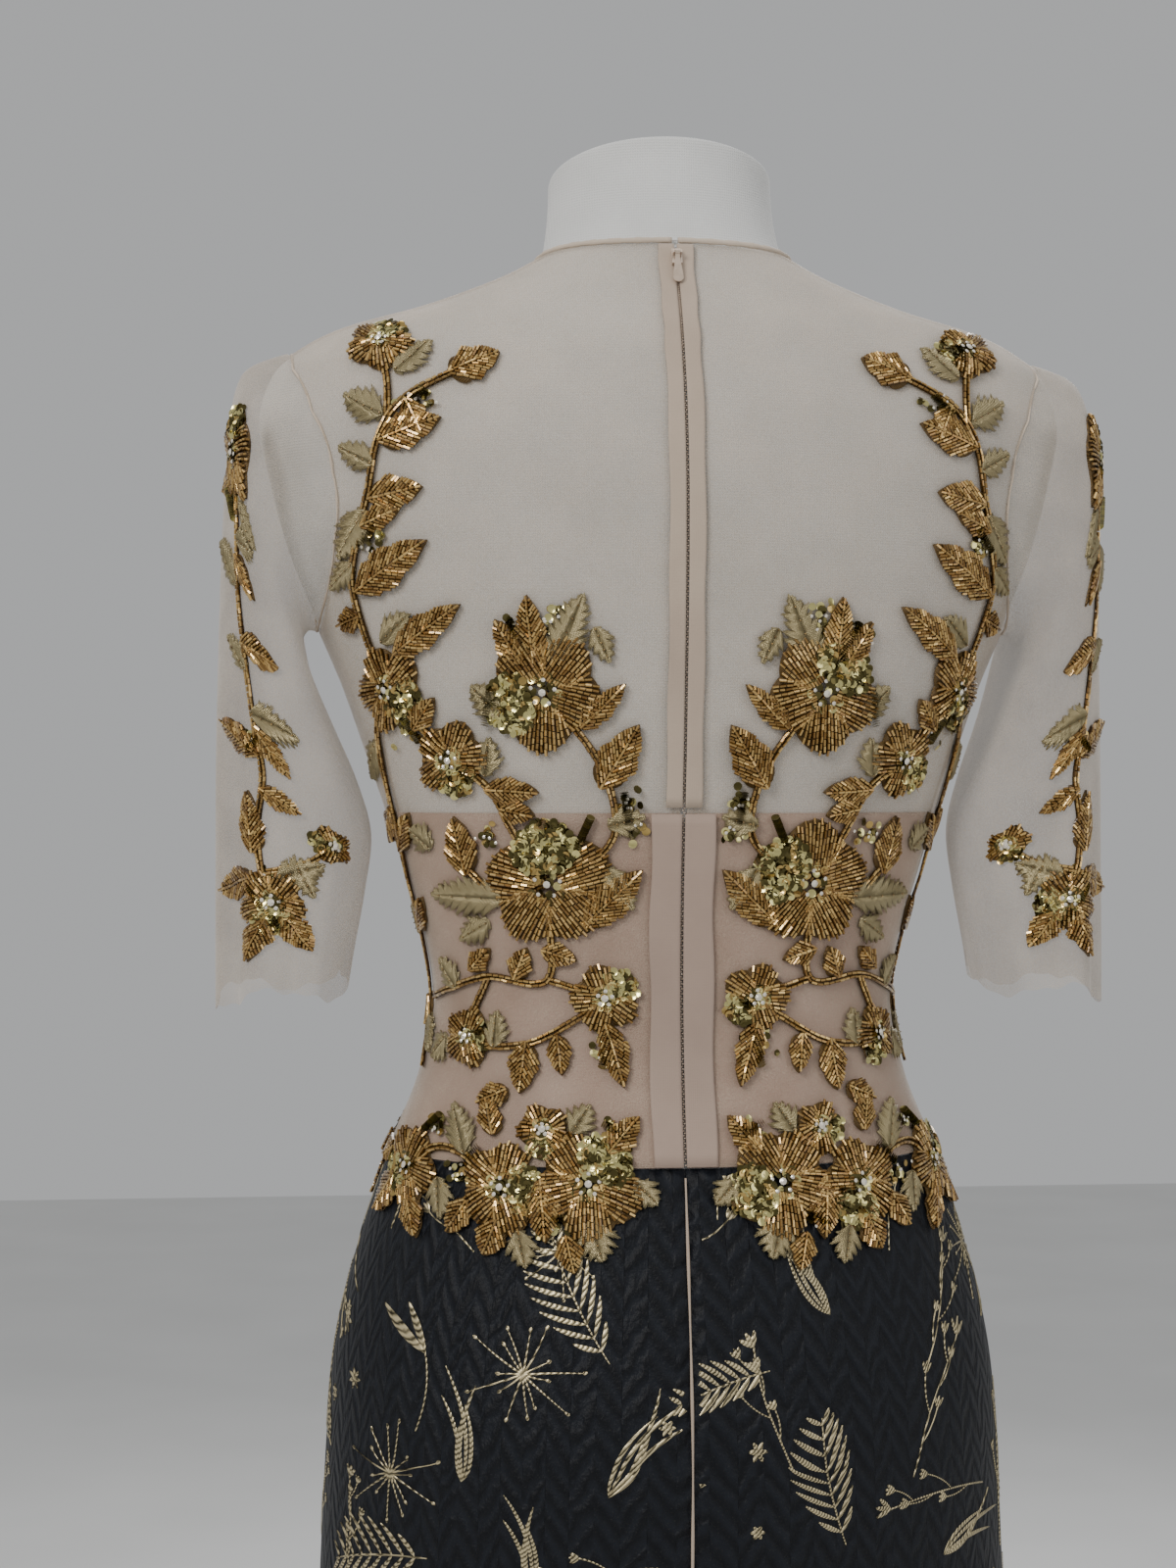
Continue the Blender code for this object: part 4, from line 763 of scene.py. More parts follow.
def add_panels():
    rows = fine_rows(SEAM_ROW, NECK_ROW)
    out = net_out(rows / FINE) - 0.2 * MM
    side = side_columns(body, rows, -GAP / 2)
    inner = body.column_at(rows, np.full(len(rows), OPENING_HALF))
    left = spread(inner, side, 44)
    pieces = [
        panel("bodice_back_left_net", body, rows, left, out, NET, ["bodice_back_left"],
              armhole=True),
        panel("bodice_back_right_net", body, rows, -left, out, NET, ["bodice_back_right"],
              armhole=True),
    ]
    edge = side_columns(body, rows, GAP / 2)
    across = spread(edge, FINE_COLUMNS - edge, 88)
    pieces.append(panel("bodice_front_net", body, rows, across, out, NET, ["bodice_front"],
                        armhole=True))

    rows = fine_rows(SEAM_ROW, LINING_ROW)
    out = np.full(len(rows), 1.4 * MM)
    side = side_columns(body, rows, -GAP / 2)
    edge = side_columns(body, rows, GAP / 2)
    left = spread(body.column_at(rows, np.full(len(rows), OPENING_HALF)), side, 36)
    pieces += [
        panel("lining_back_left_satin", body, rows, left, out, LINING, ["lining_back_left"],
              0.9 * MM),
        panel("lining_back_right_satin", body, rows, -left, out, LINING,
              ["lining_back_right"], 0.9 * MM),
        panel("lining_front_satin", body, rows, spread(edge, FINE_COLUMNS - edge, 72), out, LINING,
              ["lining_front"], 0.9 * MM),
    ]

    rows = np.arange(skirt.high, dtype=float)
    out = np.full(len(rows), 2.2 * MM)
    side = side_columns(skirt, rows, -GAP / 2)
    edge = side_columns(skirt, rows, GAP / 2)
    left = spread(skirt.column_at(rows, np.full(len(rows), GAP / 2)), side, 52)
    pieces += [
        panel("skirt_back_left_brocade", skirt, rows, left, out, BROCADE,
              ["skirt_back_left"], 1.6 * MM),
        panel("skirt_back_right_brocade", skirt, rows, -left, out, BROCADE,
              ["skirt_back_right"], 1.6 * MM),
        panel("skirt_front_brocade", skirt, rows, spread(edge, FINE_COLUMNS - edge, 104), out, BROCADE,
              ["skirt_front"], 1.6 * MM),
    ]
    return pieces


def add_sleeves():
    made = []
    for side, sign in (("left", 1), ("right", -1)):
        points = sleeve.rings.reshape(-1, 3) * (sign, 1, 1)
        faces = grid_faces(sleeve.high, sleeve.columns, closed=True)
        uv = np.stack([np.tile(np.arange(sleeve.columns) / sleeve.columns, sleeve.high),
                       np.repeat(sleeve.climb, sleeve.columns)], axis=1)
        piece = add_mesh(f"sleeve_{side}_net", points, faces, uv=uv)
        cut_sizes[piece.name] = cut_size(np.concatenate([sleeve.rings, sleeve.rings[:, :1]], axis=1))
        made.append(finish(piece, NET_SLEEVE, [f"sleeve_{side}"]))
        angle = 2 * math.pi * np.arange(96) / 96
        y = ARM_Y + (ARM_HALF_Y + 0.2 * MM) * np.sin(angle)
        z = ARM_Z + (ARM_HALF_Z + 0.2 * MM) * np.cos(angle)
        x = np.array([side_of_form(a, b) for a, b in zip(y, z)]) + 2.4 * MM
        wobble = 1 + 0.15 * np.sin(23 * angle) + 0.1 * np.sin(41 * angle)
        seam = tube(np.stack([x * sign, y, z], axis=1), 0.7 * MM * wobble, 6, closed=True, up=(1, 0, 0))
        finish(add_mesh(f"armhole_{side}_seam", *seam), NET_ROLLED)
    return made


# zip
def strip_rows(low, high):
    return np.arange(low * FINE, high * FINE + 0.01, 1.0)


def add_zip():
    made = []
    for side, sign in (("left", 1), ("right", -1)):
        rows = strip_rows(LINING_ROW + 0.1, NECK_ROW)
        out = net_out(rows / FINE) + TAPE_OUT
        wobble = 0.35 * MM * np.sin(rows * 0.55 + sign)
        columns = spread(body.column_at(rows, np.full(len(rows), TAPE_IN)),
                         body.column_at(rows, TAPE_HALF + wobble), 9)
        made.append(panel(f"zip_tape_{side}_cloth", body, rows, sign * columns, out, ZIP_CLOTH,
                          [f"zip_tape_{side}"], 0.9 * MM))
        rows = strip_rows(SEAM_ROW, LINING_ROW)
        out = net_out(rows / FINE) + TAPE_OUT
        wobble = 0.6 * MM * np.sin(rows * 0.5 + 2 * sign)
        columns = spread(body.column_at(rows, np.full(len(rows), TAPE_IN)),
                         body.column_at(rows, BAND_HALF + wobble), 13)
        made.append(panel(f"placket_band_{side}_cloth", body, rows, sign * columns, out, BAND_CLOTH,
                          [f"placket_band_{side}"], 0.9 * MM))
    climbs = np.arange(SKIRT_SEAM + 1 * MM, body.climb[int(SLIDER_ROW * FINE)] - 1 * MM, 1.25 * MM)
    sign = np.where(np.arange(len(climbs)) % 2, 1, -1)
    row = body.row_at(climbs)
    centre, normal = body.spot(sign * 0.35 * MM, climbs, net_out(row / FINE) - 0.1 * MM)
    points, faces = beads_mesh(centre - np.array((0.65 * MM, 0, 0)), centre + np.array((0.65 * MM, 0, 0)),
                               normal,
                               0.42 * MM, 6)
    coil = add_mesh("zip_coil_teeth", points, faces)
    finish(coil, LACQUER, ["zip_coil"])
    # The skirt's centre-back seam shows as a thin pale lip
    climbs = np.arange(0.30, SKIRT_SEAM - 2 * MM, 4 * MM)
    lip = skirt.spot(np.full(len(climbs), 0.0), climbs, 2.1 * MM)[0]
    radius = (0.75 + 0.2 * np.sin(climbs * 90)) * MM
    finish(add_mesh("skirt_zip_lip", *tube(lip, radius, 6, up=(1, 0, 0))), ZIP_CLOTH)
    return made


def add_binding():
    """The neckline's rolled edge, in three lengths."""
    rows = np.array([NECK_ROW * FINE], float)
    start = float(body.column_at(rows, np.array([OPENING_HALF]))[0])
    side = float(side_columns(body, rows, 0)[0])
    lengths = (
        ("binding_back_left", np.linspace(start, side - 0.1, 60)),
        ("binding_back_right", -np.linspace(start, side - 0.1, 60)),
        ("binding_front", np.linspace(side + 0.1, FINE_COLUMNS - side - 0.1, 130)),
    )
    for name, columns in lengths:
        at = np.full(len(columns), rows[0])
        point = body.at(at, columns, net_in(NECK_ROW) + 1.3 * MM)[0]
        climb = body.at(at, columns, 0)[0] - body.at(at - 3, columns, 0)[0]
        climb /= np.linalg.norm(climb, axis=1, keepdims=True)
        wobble = 1 + 0.10 * np.sin(np.arange(len(columns)) * 0.9) + 0.07 * np.sin(np.arange(len(columns)) * 2.3)
        points, faces = tube(point + climb * 2.0 * MM, 1.3 * MM * wobble, 10, squash=1.25, up=climb)
        finish(add_mesh(f"{name}_roll", points, faces), NET_ROLLED, [name])


# bead work
def beads_mesh(start, end, normal, radius, sides):
    """Prisms from start to end points, all in one mesh."""
    axis = end - start
    axis /= np.linalg.norm(axis, axis=1, keepdims=True)
    side = np.cross(axis, normal)
    side /= np.linalg.norm(side, axis=1, keepdims=True)
    lift = np.cross(side, axis)
    radius = np.broadcast_to(np.asarray(radius, float), (len(start),))
    roll = 0.45 * np.sin(np.arange(len(start)) * 12.9898)
    angle = 2 * math.pi * (np.arange(sides)[None, :] + 0.5) / sides + roll[:, None]
    around, above = np.cos(angle)[..., None], np.sin(angle)[..., None]
    spoke = radius[:, None, None] * (around * side[:, None] + above * lift[:, None])
    points = np.stack([start[:, None] + spoke, end[:, None] + spoke], axis=1)
    first = (np.arange(len(start)) * 2 * sides)[:, None]
    k = np.arange(sides)
    after = (k + 1) % sides
    quads = np.stack([first + k, first + after, first + after + sides, first + k + sides],
                     axis=-1).reshape(-1, 4)
    tops = (first + sides + k)
    bottoms = (first + k[::-1])
    faces = [tuple(f) for f in quads] + [tuple(f) for f in bottoms] + [tuple(f) for f in tops]
    return points.reshape(-1, 3), faces


def domes_mesh(centre, normal, radius, height, sides):
    """Low cones or cups about their normals: a ring of points round a raised or sunk middle."""
    helper = np.where(np.abs(normal[:, 2:3]) > 0.9, (1.0, 0, 0), (0, 0, 1.0))
    side = np.cross(normal, helper)
    side /= np.linalg.norm(side, axis=1, keepdims=True)
    lift = np.cross(normal, side)
    radius = np.broadcast_to(np.asarray(radius, float), (len(centre),))
    height = np.broadcast_to(np.asarray(height, float), (len(centre),))
    angle = 2 * math.pi * np.arange(sides) / sides
    ring = centre[:, None] + radius[:, None, None] * (np.cos(angle)[None, :, None] * side[:, None]
                                                      + np.sin(angle)[None, :, None] * lift[:, None])
    points = np.concatenate([ring, (centre + normal * height[:, None])[:, None]], axis=1)
    first = (np.arange(len(centre)) * (sides + 1))[:, None]
    k = np.arange(sides)
    faces = np.stack([first + k, first + (k + 1) % sides, first + sides + 0 * k], axis=-1).reshape(-1, 3)
    return points.reshape(-1, 3), faces


Flower = namedtuple("Flower", "across climb radius turn")
Leaf = namedtuple("Leaf", "across climb tip_across tip_climb width")
BODICE_FLOWERS = (
    Flower(154, 1388, 19, 10), Flower(156, 1211, 22, 30), Flower(119, 1175, 20, 0), Flower(71, 1208, 31, 18),
    Flower(67, 1112, 33, 50), Flower(38, 1053, 18, 36), Flower(112, 1031, 16, 0),
)
BODICE_LEAVES = (
    Leaf(118, 1366, 92, 1379, 17), Leaf(152, 1346, 174, 1358, 13), Leaf(155, 1333, 122, 1344, 15),
    Leaf(161, 1305, 132, 1310, 15), Leaf(163, 1300, 182, 1276, 14), Leaf(171, 1260, 130, 1284, 17),
    Leaf(150, 1228, 113, 1252, 14), Leaf(66, 1222, 51, 1257, 14), Leaf(76, 1222, 80, 1256, 13),
    Leaf(42, 1160, 23, 1192, 17), Leaf(38, 1141, 19, 1146, 11), Leaf(110, 1116, 118, 1146, 15),
    Leaf(49, 1090, 20, 1119, 16), Leaf(90, 1104, 136, 1106, 14), Leaf(100, 1160, 72, 1158, 11),
    Leaf(84, 1062, 78, 1079, 11), Leaf(120, 1056, 134, 1072, 11), Leaf(38, 1040, 29, 1008, 12),
    Leaf(78, 1030, 82, 1004, 13),
)
BODICE_STEMS = (
    ((154, 1388), (150, 1362), (150, 1345)),
    ((116, 1367), (143, 1353), (156, 1333), (162, 1308), (169, 1285), (174, 1262), (166, 1232), (156, 1211)),
    ((156, 1211), (119, 1175)),
    ((119, 1175), (98, 1160), (84, 1136), (67, 1112)),
    ((71, 1208), (48, 1181), (37, 1160), (35, 1135), (54, 1115)),
    ((67, 1100), (67, 1062), (99, 1063), (124, 1056), (146, 1050)),
    ((67, 1062), (38, 1053)),
    ((112, 1121), (92, 1106), (67, 1112)),
    ((99, 1063), (112, 1031), (78, 1029), (46, 1046)),
)
SIDE_LEAVES = (
    Leaf(169, 1184, 186, 1166, 13), Leaf(164, 1150, 178, 1132, 13), Leaf(160, 1128, 148, 1148, 12),
    Leaf(158, 1100, 171, 1083, 12), Leaf(156, 1085, 145, 1104, 11), Leaf(157, 1050, 166, 1032, 12),
    Leaf(157, 1040, 148, 1020, 12),
)
SIDE_STEMS = (
    ((156, 1211), (167, 1190), (165, 1160), (160, 1128), (158, 1096), (156, 1070), (158, 1040), (154, 1012)),
)
HIP_FLOWERS = (Flower(48, 960, 28, 20), Flower(92, 957, 23, 0), Flower(70, 986, 14, 30),
               Flower(150, 963, 21, 12))
HIP_LEAVES = (
    Leaf(38, 975, 22, 994, 12), Leaf(48, 944, 42, 924, 15), Leaf(72, 962, 70, 932, 15),
    Leaf(94, 942, 102, 925, 14),
    Leaf(112, 972, 120, 998, 13), Leaf(148, 950, 141, 930, 13), Leaf(160, 958, 180, 938, 14),
)
HIP_STEMS = (((92, 957), (112, 972), (132, 974), (150, 963)), ((70, 986), (80, 970)), ((70, 986), (60, 972)))
SLEEVE_FLOWERS = (
    Flower(50, 1350, 23, 8),
    Flower(98, 1150, 13, 0),
    Flower(66, 1106, 19, 25),
)
SLEEVE_LEAVES = (
    Leaf(56, 1250, 86, 1258, 14),
    Leaf(58, 1212, 90, 1217, 15),
    Leaf(60, 1206, 78, 1184, 12),
    Leaf(56, 1132, 51, 1166, 14),
    Leaf(68, 1120, 94, 1136, 13),
    Leaf(64, 1096, 56, 1070, 14),
    Leaf(72, 1100, 90, 1079, 14),
    Leaf(54, 1280, 22, 1290, 13),
    Leaf(62, 1190, 26, 1198, 13),
    Leaf(56, 1118, 24, 1108, 13),
)
SLEEVE_STEMS = (
    ((50, 1350), (54, 1320), (53, 1282), (56, 1250), (59, 1212), (62, 1180), (58, 1150), (60, 1125),
     (66, 1106)),
    ((62, 1122), (84, 1134), (98, 1150)),
)
# Small sprays between the main leaves, low on the net
BODICE_SPRAYS = (
    Leaf(146, 1368, 126, 1388, 11), Leaf(140, 1354, 132, 1336, 11), Leaf(158, 1322, 178, 1332, 10),
    Leaf(166, 1292, 144, 1300, 10), Leaf(172, 1274, 190, 1262, 10), Leaf(170, 1248, 188, 1244, 10),
    Leaf(158, 1234, 140, 1248, 11), Leaf(140, 1190, 128, 1206, 11), Leaf(100, 1166, 98, 1186, 11),
    Leaf(92, 1150, 74, 1146, 10), Leaf(92, 1196, 108, 1212, 11), Leaf(52, 1190, 30, 1212, 10),
    Leaf(38, 1120, 24, 1098, 11), Leaf(70, 1078, 52, 1072, 10), Leaf(98, 1092, 116, 1082, 11),
    Leaf(110, 1066, 98, 1078, 10), Leaf(96, 1026, 94, 1046, 10), Leaf(62, 1034, 60, 1014, 10),
    Leaf(128, 1030, 142, 1018, 11), Leaf(88, 1006, 106, 998, 10), Leaf(132, 1130, 148, 1140, 11),
    Leaf(82, 1222, 96, 1244, 11), Leaf(46, 1240, 38, 1222, 9),
)
HIP_SPRAYS = (
    Leaf(26, 962, 14, 950, 10), Leaf(60, 936, 56, 918, 11), Leaf(84, 938, 80, 920, 11),
    Leaf(110, 950, 122, 934, 11),
    Leaf(128, 960, 126, 940, 11), Leaf(96, 982, 100, 1002, 11), Leaf(56, 984, 46, 1000, 11),
    Leaf(168, 972, 186, 964, 10),
)
SLEEVE_SPRAYS = (
    Leaf(55, 1306, 76, 1316, 11), Leaf(53, 1296, 72, 1284, 11), Leaf(58, 1236, 38, 1246, 11),
    Leaf(60, 1170, 82, 1164, 11), Leaf(78, 1130, 88, 1112, 10), Leaf(50, 1334, 28, 1318, 11),
    Leaf(60, 1330, 80, 1320, 11),
)
# Loose clusters of stacked sequins: middle, how far each spreads, and how many
Cluster = namedtuple("Cluster", "across climb spread_across spread_climb count")
BODICE_CLUSTERS = (
    Cluster(135, 1353, 10, 5, 16), Cluster(162, 1286, 8, 7, 18), Cluster(83, 1237, 13, 6, 22),
    Cluster(66, 1244, 8, 8, 14), Cluster(28, 1151, 5, 8, 14), Cluster(24, 1138, 5, 6, 10),
    Cluster(37, 1028, 7, 8, 16), Cluster(100, 1136, 8, 6, 14), Cluster(140, 1190, 9, 8, 16),
)
HIP_CLUSTERS = (Cluster(34, 986, 7, 6, 14), Cluster(116, 962, 8, 6, 14), Cluster(68, 940, 7, 5, 10),
                Cluster(130, 985, 8, 5, 12))
SLEEVE_CLUSTERS = (Cluster(46, 1322, 8, 7, 16), Cluster(58, 1196, 6, 5, 10), Cluster(62, 1118, 7, 5, 12))

# Rows of sequins stacked edge on: start, end
BODICE_COINS = (
    ((88, 1243), (78, 1226)), ((30, 1158), (27, 1142)), ((140, 1350), (130, 1358)),
    ((158, 1292), (168, 1282)),
    ((36, 1034), (40, 1018)), ((98, 1208), (100, 1192)), ((52, 1132), (46, 1146)), ((146, 1196), (136, 1184)),
)
HIP_COINS = (((30, 984), (40, 990)), ((104, 976), (116, 966)), ((62, 944), (74, 938)),
             ((138, 982), (128, 990)))
SLEEVE_COINS = (((42, 1324), (54, 1316)), ((62, 1200), (54, 1190)), ((56, 1112), (72, 1090)))

BUGLE_LONG, BUGLE_RADIUS, BUGLE_STEP = 3.0, 0.86, 2.15
PETALS = 5
DOME_EDGE, DOME_CROWN = 0.9, 2.3
# Painted highlight and shade: how bright each point round a bugle is painted, from its side over its top and
# under it, and each point of a seed bead, its rim darker than its top
BUGLE_PAINTED_HIGHLIGHT = (0.74, 1.05, 0.42, 0.0, 0.06) * 2
SEED_PAINTED_HIGHLIGHT = (0.2,) * 6 + (1.0,)


class Beadwork:
    """Beads, sequins and raised grounds gathered in flat millimetres, then laid on a skin."""

    def __init__(self, seed):
        self.random = np.random.default_rng(seed)
        self.bugles, self.seeds, self.sequins, self.crystals = [], [], [], []
        self.grounds, self.threads, self.coin_list = [], [], []
        self.sequinned = seed

    def chain(self, start, end, height, kind=0):
        """Bugles end to end from one flat point to another."""
        start, end = np.array(start, float), np.array(end, float)
        length = np.linalg.norm(end - start)
        if length < 1.2:
            return
        count = max(1, int(round(length / (BUGLE_LONG + 0.35))))
        ahead = (end - start) / length
        step = length / count
        for k in range(count):
            jitter = self.random.normal(0, 0.10, 2)
            a = start + ahead * (k * step + 0.19) + jitter
            b = start + ahead * ((k + 1) * step - 0.19) + self.random.normal(0, 0.10, 2)
            self.bugles.append((*a, *b, height(*a), height(*b), kind))

    def flower(self, flower):
        centre = np.array((flower.across, flower.climb), float)
        radius = flower.radius
        for petal in range(PETALS):
            middle = math.radians(flower.turn) + 2 * math.pi * (petal + 0.5) / PETALS
            out = np.array((math.cos(middle), math.sin(middle)))
            beside = np.array((-out[1], out[0]))
            base, tip = 0.16 * radius, 0.99 * radius

            def half_width(u):
                share = np.clip((u - base) / (tip - base), 0, 1)
                return 0.50 * radius * np.sin(math.pi * share**0.82) ** 0.55

            def height(x, y):
                local = np.array((x, y)) - centre
                u, v = local.dot(out), local.dot(beside)
                wide = max(float(half_width(u)), 0.5)
                return DOME_EDGE + (DOME_CROWN - DOME_EDGE) * max(0, 1 - (v / wide) ** 2) ** 0.7

            outline_u = np.linspace(base, tip, 12)
            edge = np.concatenate([np.stack([outline_u, half_width(outline_u)], 1),
                                   np.stack([outline_u, -half_width(outline_u)], 1)[::-1]])
            ground = centre + edge[:, :1] * out * 1.0 + edge[:, 1:] * beside
            self.grounds.append((ground, centre + out * (base + tip) * 0.5, [height(*p) for p in ground]))
            lanes = int(radius * 0.92 / BUGLE_STEP)
            if petal == self.sequinned % PETALS:
                self.scales(centre, out, beside, base, tip, half_width)
                continue
            # Rows of bugles that fan out along the petal, every other one a little longer
            for lane in range(-lanes // 2, lanes // 2 + 1):
                v = lane * BUGLE_STEP
                line_u = np.linspace(base, tip, 60)
                inside = line_u[half_width(line_u) > abs(v) + 0.4]
                if len(inside) < 3:
                    continue
                u0, u1 = inside[0], inside[-1] + (1.1 if lane % 2 else -0.6)
                self.chain(centre + out * u0 + beside * v * 0.72, centre + out * u1 + beside * v * 1.02,
                           height,
                           kind=petal % 2 + (abs(lane) == lanes // 2))
        self.sequinned += 1
        for ring, count, size in ((0.05, 1, 1), (0.16, 6, 1), (0.27, 10, 1)):
            for k in range(count):
                angle = 2 * math.pi * (k + self.random.random() * 0.4) / count
                place = centre + radius * ring * np.array((math.cos(angle), math.sin(angle)))
                self.sequins.append((*place, DOME_CROWN + 1.3 + 0.5 * (0.27 - ring) * 4, 2.3))
        self.crystals.append((*centre, DOME_CROWN + 2.4, 1.9))
        for k in range(5):
            angle = 2 * math.pi * (k + 0.3) / 5
            place = centre + radius * 0.20 * np.array((math.cos(angle), math.sin(angle)))
            self.crystals.append((*place, DOME_CROWN + 1.9, 1.1))

    def scales(self, centre, out, beside, base, tip, half_width):
        """Sequins in overlapping rows over a petal, from its tip inwards."""
        for row, u in enumerate(np.arange(tip - 1.5, base + 1.5, -2.4)):
            wide = float(half_width(u))
            for v in np.arange(-wide + 1.2 * (row % 2), wide + 0.1, 2.5):
                place = centre + out * u + beside * v + self.random.normal(0, 0.25, 2)
                self.sequins.append((*place, DOME_EDGE + 0.9 + 0.35 * row, 2.2))

    def coins(self, start, end):
        """A row of cups stacked edge on."""
        start, end = np.array(start, float), np.array(end, float)
        length = float(np.linalg.norm(end - start))
        ahead = (end - start) / length
        for far in np.arange(0, length, 1.15):
            self.coin_list.append((*(start + ahead * far), 2.5, 2.3, *ahead))

    def leaf(self, leaf, thread):
        root = np.array((leaf.across, leaf.climb), float)
        along = np.array((leaf.tip_across - leaf.across, leaf.tip_climb - leaf.climb), float)
        length = float(np.linalg.norm(along))
        out = along / length
        beside = np.array((-out[1], out[0]))

        def half_width(u):
            share = np.clip(u / length, 0, 1)
            lobes = 1 + 0.20 * np.abs(np.sin(math.pi * share * 3.2)) - 0.10
            return 0.60 * leaf.width * np.sin(math.pi * share**0.74) ** 0.80 * lobes + 0.3

        def height(x, y):
            local = np.array((x, y)) - root
            wide = max(float(half_width(local.dot(out))), 0.5)
            rise = max(0, 1 - (local.dot(beside) / wide) ** 2) ** 0.7
            return DOME_EDGE + (DOME_CROWN - 0.5 - DOME_EDGE) * rise

        u = np.linspace(0, length, 17)
        jagged = (0.62 + 0.50 * (np.arange(17) % 3 == 1)) if thread else 0.88
        left = np.stack([u, half_width(u) * jagged], 1)
        right = np.stack([u, -half_width(u) * jagged], 1)[::-1]
        edge = np.concatenate([left, right[1:-1]])
        flat = root + edge[:, :1] * out + edge[:, 1:] * beside
        spine = root + out * np.linspace(0, length, 17)[:, None]
        target = self.threads if thread else self.grounds
        target.append((flat, root + out * length * 0.45, [height(*p) for p in flat]))
        if thread:
            self.satin(root, out, beside, length, half_width)
            for place in spine[1:-1:3]:
                self.seeds.append((*place, DOME_CROWN + 0.7, 0.55))
            return
        self.chain(root, root + out * (length - 0.5), lambda x, y: height(x, y) + 0.25, kind=2)
        slant = math.radians(38)
        for sign in (1, -1):
            lean = out * math.cos(slant) + beside * sign * math.sin(slant)
            for start in np.arange(0.6, length * 0.90, BUGLE_STEP / math.sin(slant) * 0.72):
                reach = np.linspace(0, leaf.width, 40)
                inside = [r for r in reach
                          if r * math.sin(slant) + 0.9 < float(half_width(start + r * math.cos(slant)))
                          and start + r * math.cos(slant) < length]
                if inside and inside[-1] > 1.3:
                    first = root + out * start + beside * sign * 0.8
                    self.chain(first, first + lean * inside[-1], height, kind=0)

    def satin(self, root, out, beside, length, half_width):
        """Long stitches side by side across a leaf, from its midrib to its edge."""
        slant = math.radians(48)
        for sign in (1, -1):
            lean = out * math.cos(slant) + beside * sign * math.sin(slant)
            for start in np.arange(0.3, length * 0.94, 0.95):
                reach = np.linspace(0.5, length, 60)
                inside = [r for r in reach
                          if r * math.sin(slant) < float(half_width(start + r * math.cos(slant)))
                          and start + r * math.cos(slant) < length]
                if not inside:
                    continue
                tooth = 0.72 + 0.50 * abs(math.sin(start * math.pi / 5.2))
                far = inside[-1] * tooth * (1 + 0.10 * self.random.random())
                first = root + out * start
                self.threads.append(("stitch", first, first + lean * far))

    def stem(self, route):
        """A vine: two lines of bugles end to end along a route, over a ground strip."""
        route = np.array(route, float)
        fine = resampled(route, 14)
        lengths = np.concatenate([[0], np.cumsum(np.linalg.norm(np.diff(fine, axis=0), axis=1))])
        flat = lambda x, y: DOME_EDGE - 0.1
        ahead = np.gradient(fine, axis=0)
        ahead /= np.maximum(np.linalg.norm(ahead, axis=1, keepdims=True), 1e-6)
        beside = np.stack([-ahead[:, 1], ahead[:, 0]], axis=1)
        for lane, shift in ((-1.05, 0.0), (1.05, 1.5)):
            for far in np.arange(shift, lengths[-1] - 2.4, BUGLE_LONG + 0.35):
                ends = []
                for reach in (far, far + BUGLE_LONG + 0.3):
                    here = np.array([np.interp(reach, lengths, fine[:, k]) for k in (0, 1)])
                    across = np.array([np.interp(reach, lengths, beside[:, k]) for k in (0, 1)])
                    ends.append(here + across * lane)
                self.chain(*ends, flat, kind=1 + (lane == 0))
        strip = []
        for sign in (1, -1):
            ahead = np.gradient(fine, axis=0)
            ahead /= np.linalg.norm(ahead, axis=1, keepdims=True)
            beside = np.stack([-ahead[:, 1], ahead[:, 0]], axis=1)
            strip.append(fine + beside * sign * 1.9)
        self.grounds.append(("strip", strip[0], strip[1]))

    def cluster(self, cluster):
        for _ in range(cluster.count):
            dx, dy = self.random.normal(0, 0.55, 2)
            place = (cluster.across + dx * cluster.spread_across, cluster.climb + dy * cluster.spread_climb)
            self.sequins.append((*place, 0.8 + 0.9 * self.random.random(), 1.7 + 0.7 * self.random.random()))
        for _ in range(cluster.count // 3):
            dx, dy = self.random.normal(0, 0.5, 2)
            place = (cluster.across + dx * cluster.spread_across, cluster.climb + dy * cluster.spread_climb)
            self.crystals.append((*place, 2.2, 0.9))

    def tones(self, kinds, highlight_profile):
        """Amber glass beads, each its own brightness, with a painted highlight along its top and painted shade
        on its sides.
        """
        kinds = np.asarray(kinds)
        dark, mid = np.array((0.050, 0.019, 0.001)), np.array((0.27, 0.125, 0.012))
        bright = np.array((0.95, 0.66, 0.25))
        level = np.clip(self.random.random(len(kinds)) ** 1.2 * 0.85 + 0.07 * (kinds == 1)
                        + 0.12 * (kinds >= 2), 0, 1)
        value = level[:, None] * 0.62 - 0.06 + (np.asarray(highlight_profile) - 0.5)[None, :] * 1.05
        value = np.clip(value, 0, 1)[..., None]
        colour = np.where(value < 0.5, dark + (mid - dark) * value * 2,
                          mid + (bright - mid) * (value - 0.5) * 2)
        return colour.reshape(-1, 3)

    def lay(self, name, skin, mirror, skin_out, replaced):
        """The gathered work as meshes on the skin, on one side of the gown."""
        flip = np.array((-1.0 if mirror else 1.0, 1, 1))

        def place(flat, above):
            flat = np.asarray(flat, float) * MM
            row = skin.row_at(flat[:, 1])
            points, normals = skin.at(row, skin.column_at(row, flat[:, 0]),
                                      skin_out(row) + np.asarray(above, float) * MM)
            return points * flip, normals * flip

        def turned(faces):
            if not mirror:
                return faces
            return faces[:, ::-1] if isinstance(faces, np.ndarray) else [face[::-1] for face in faces]

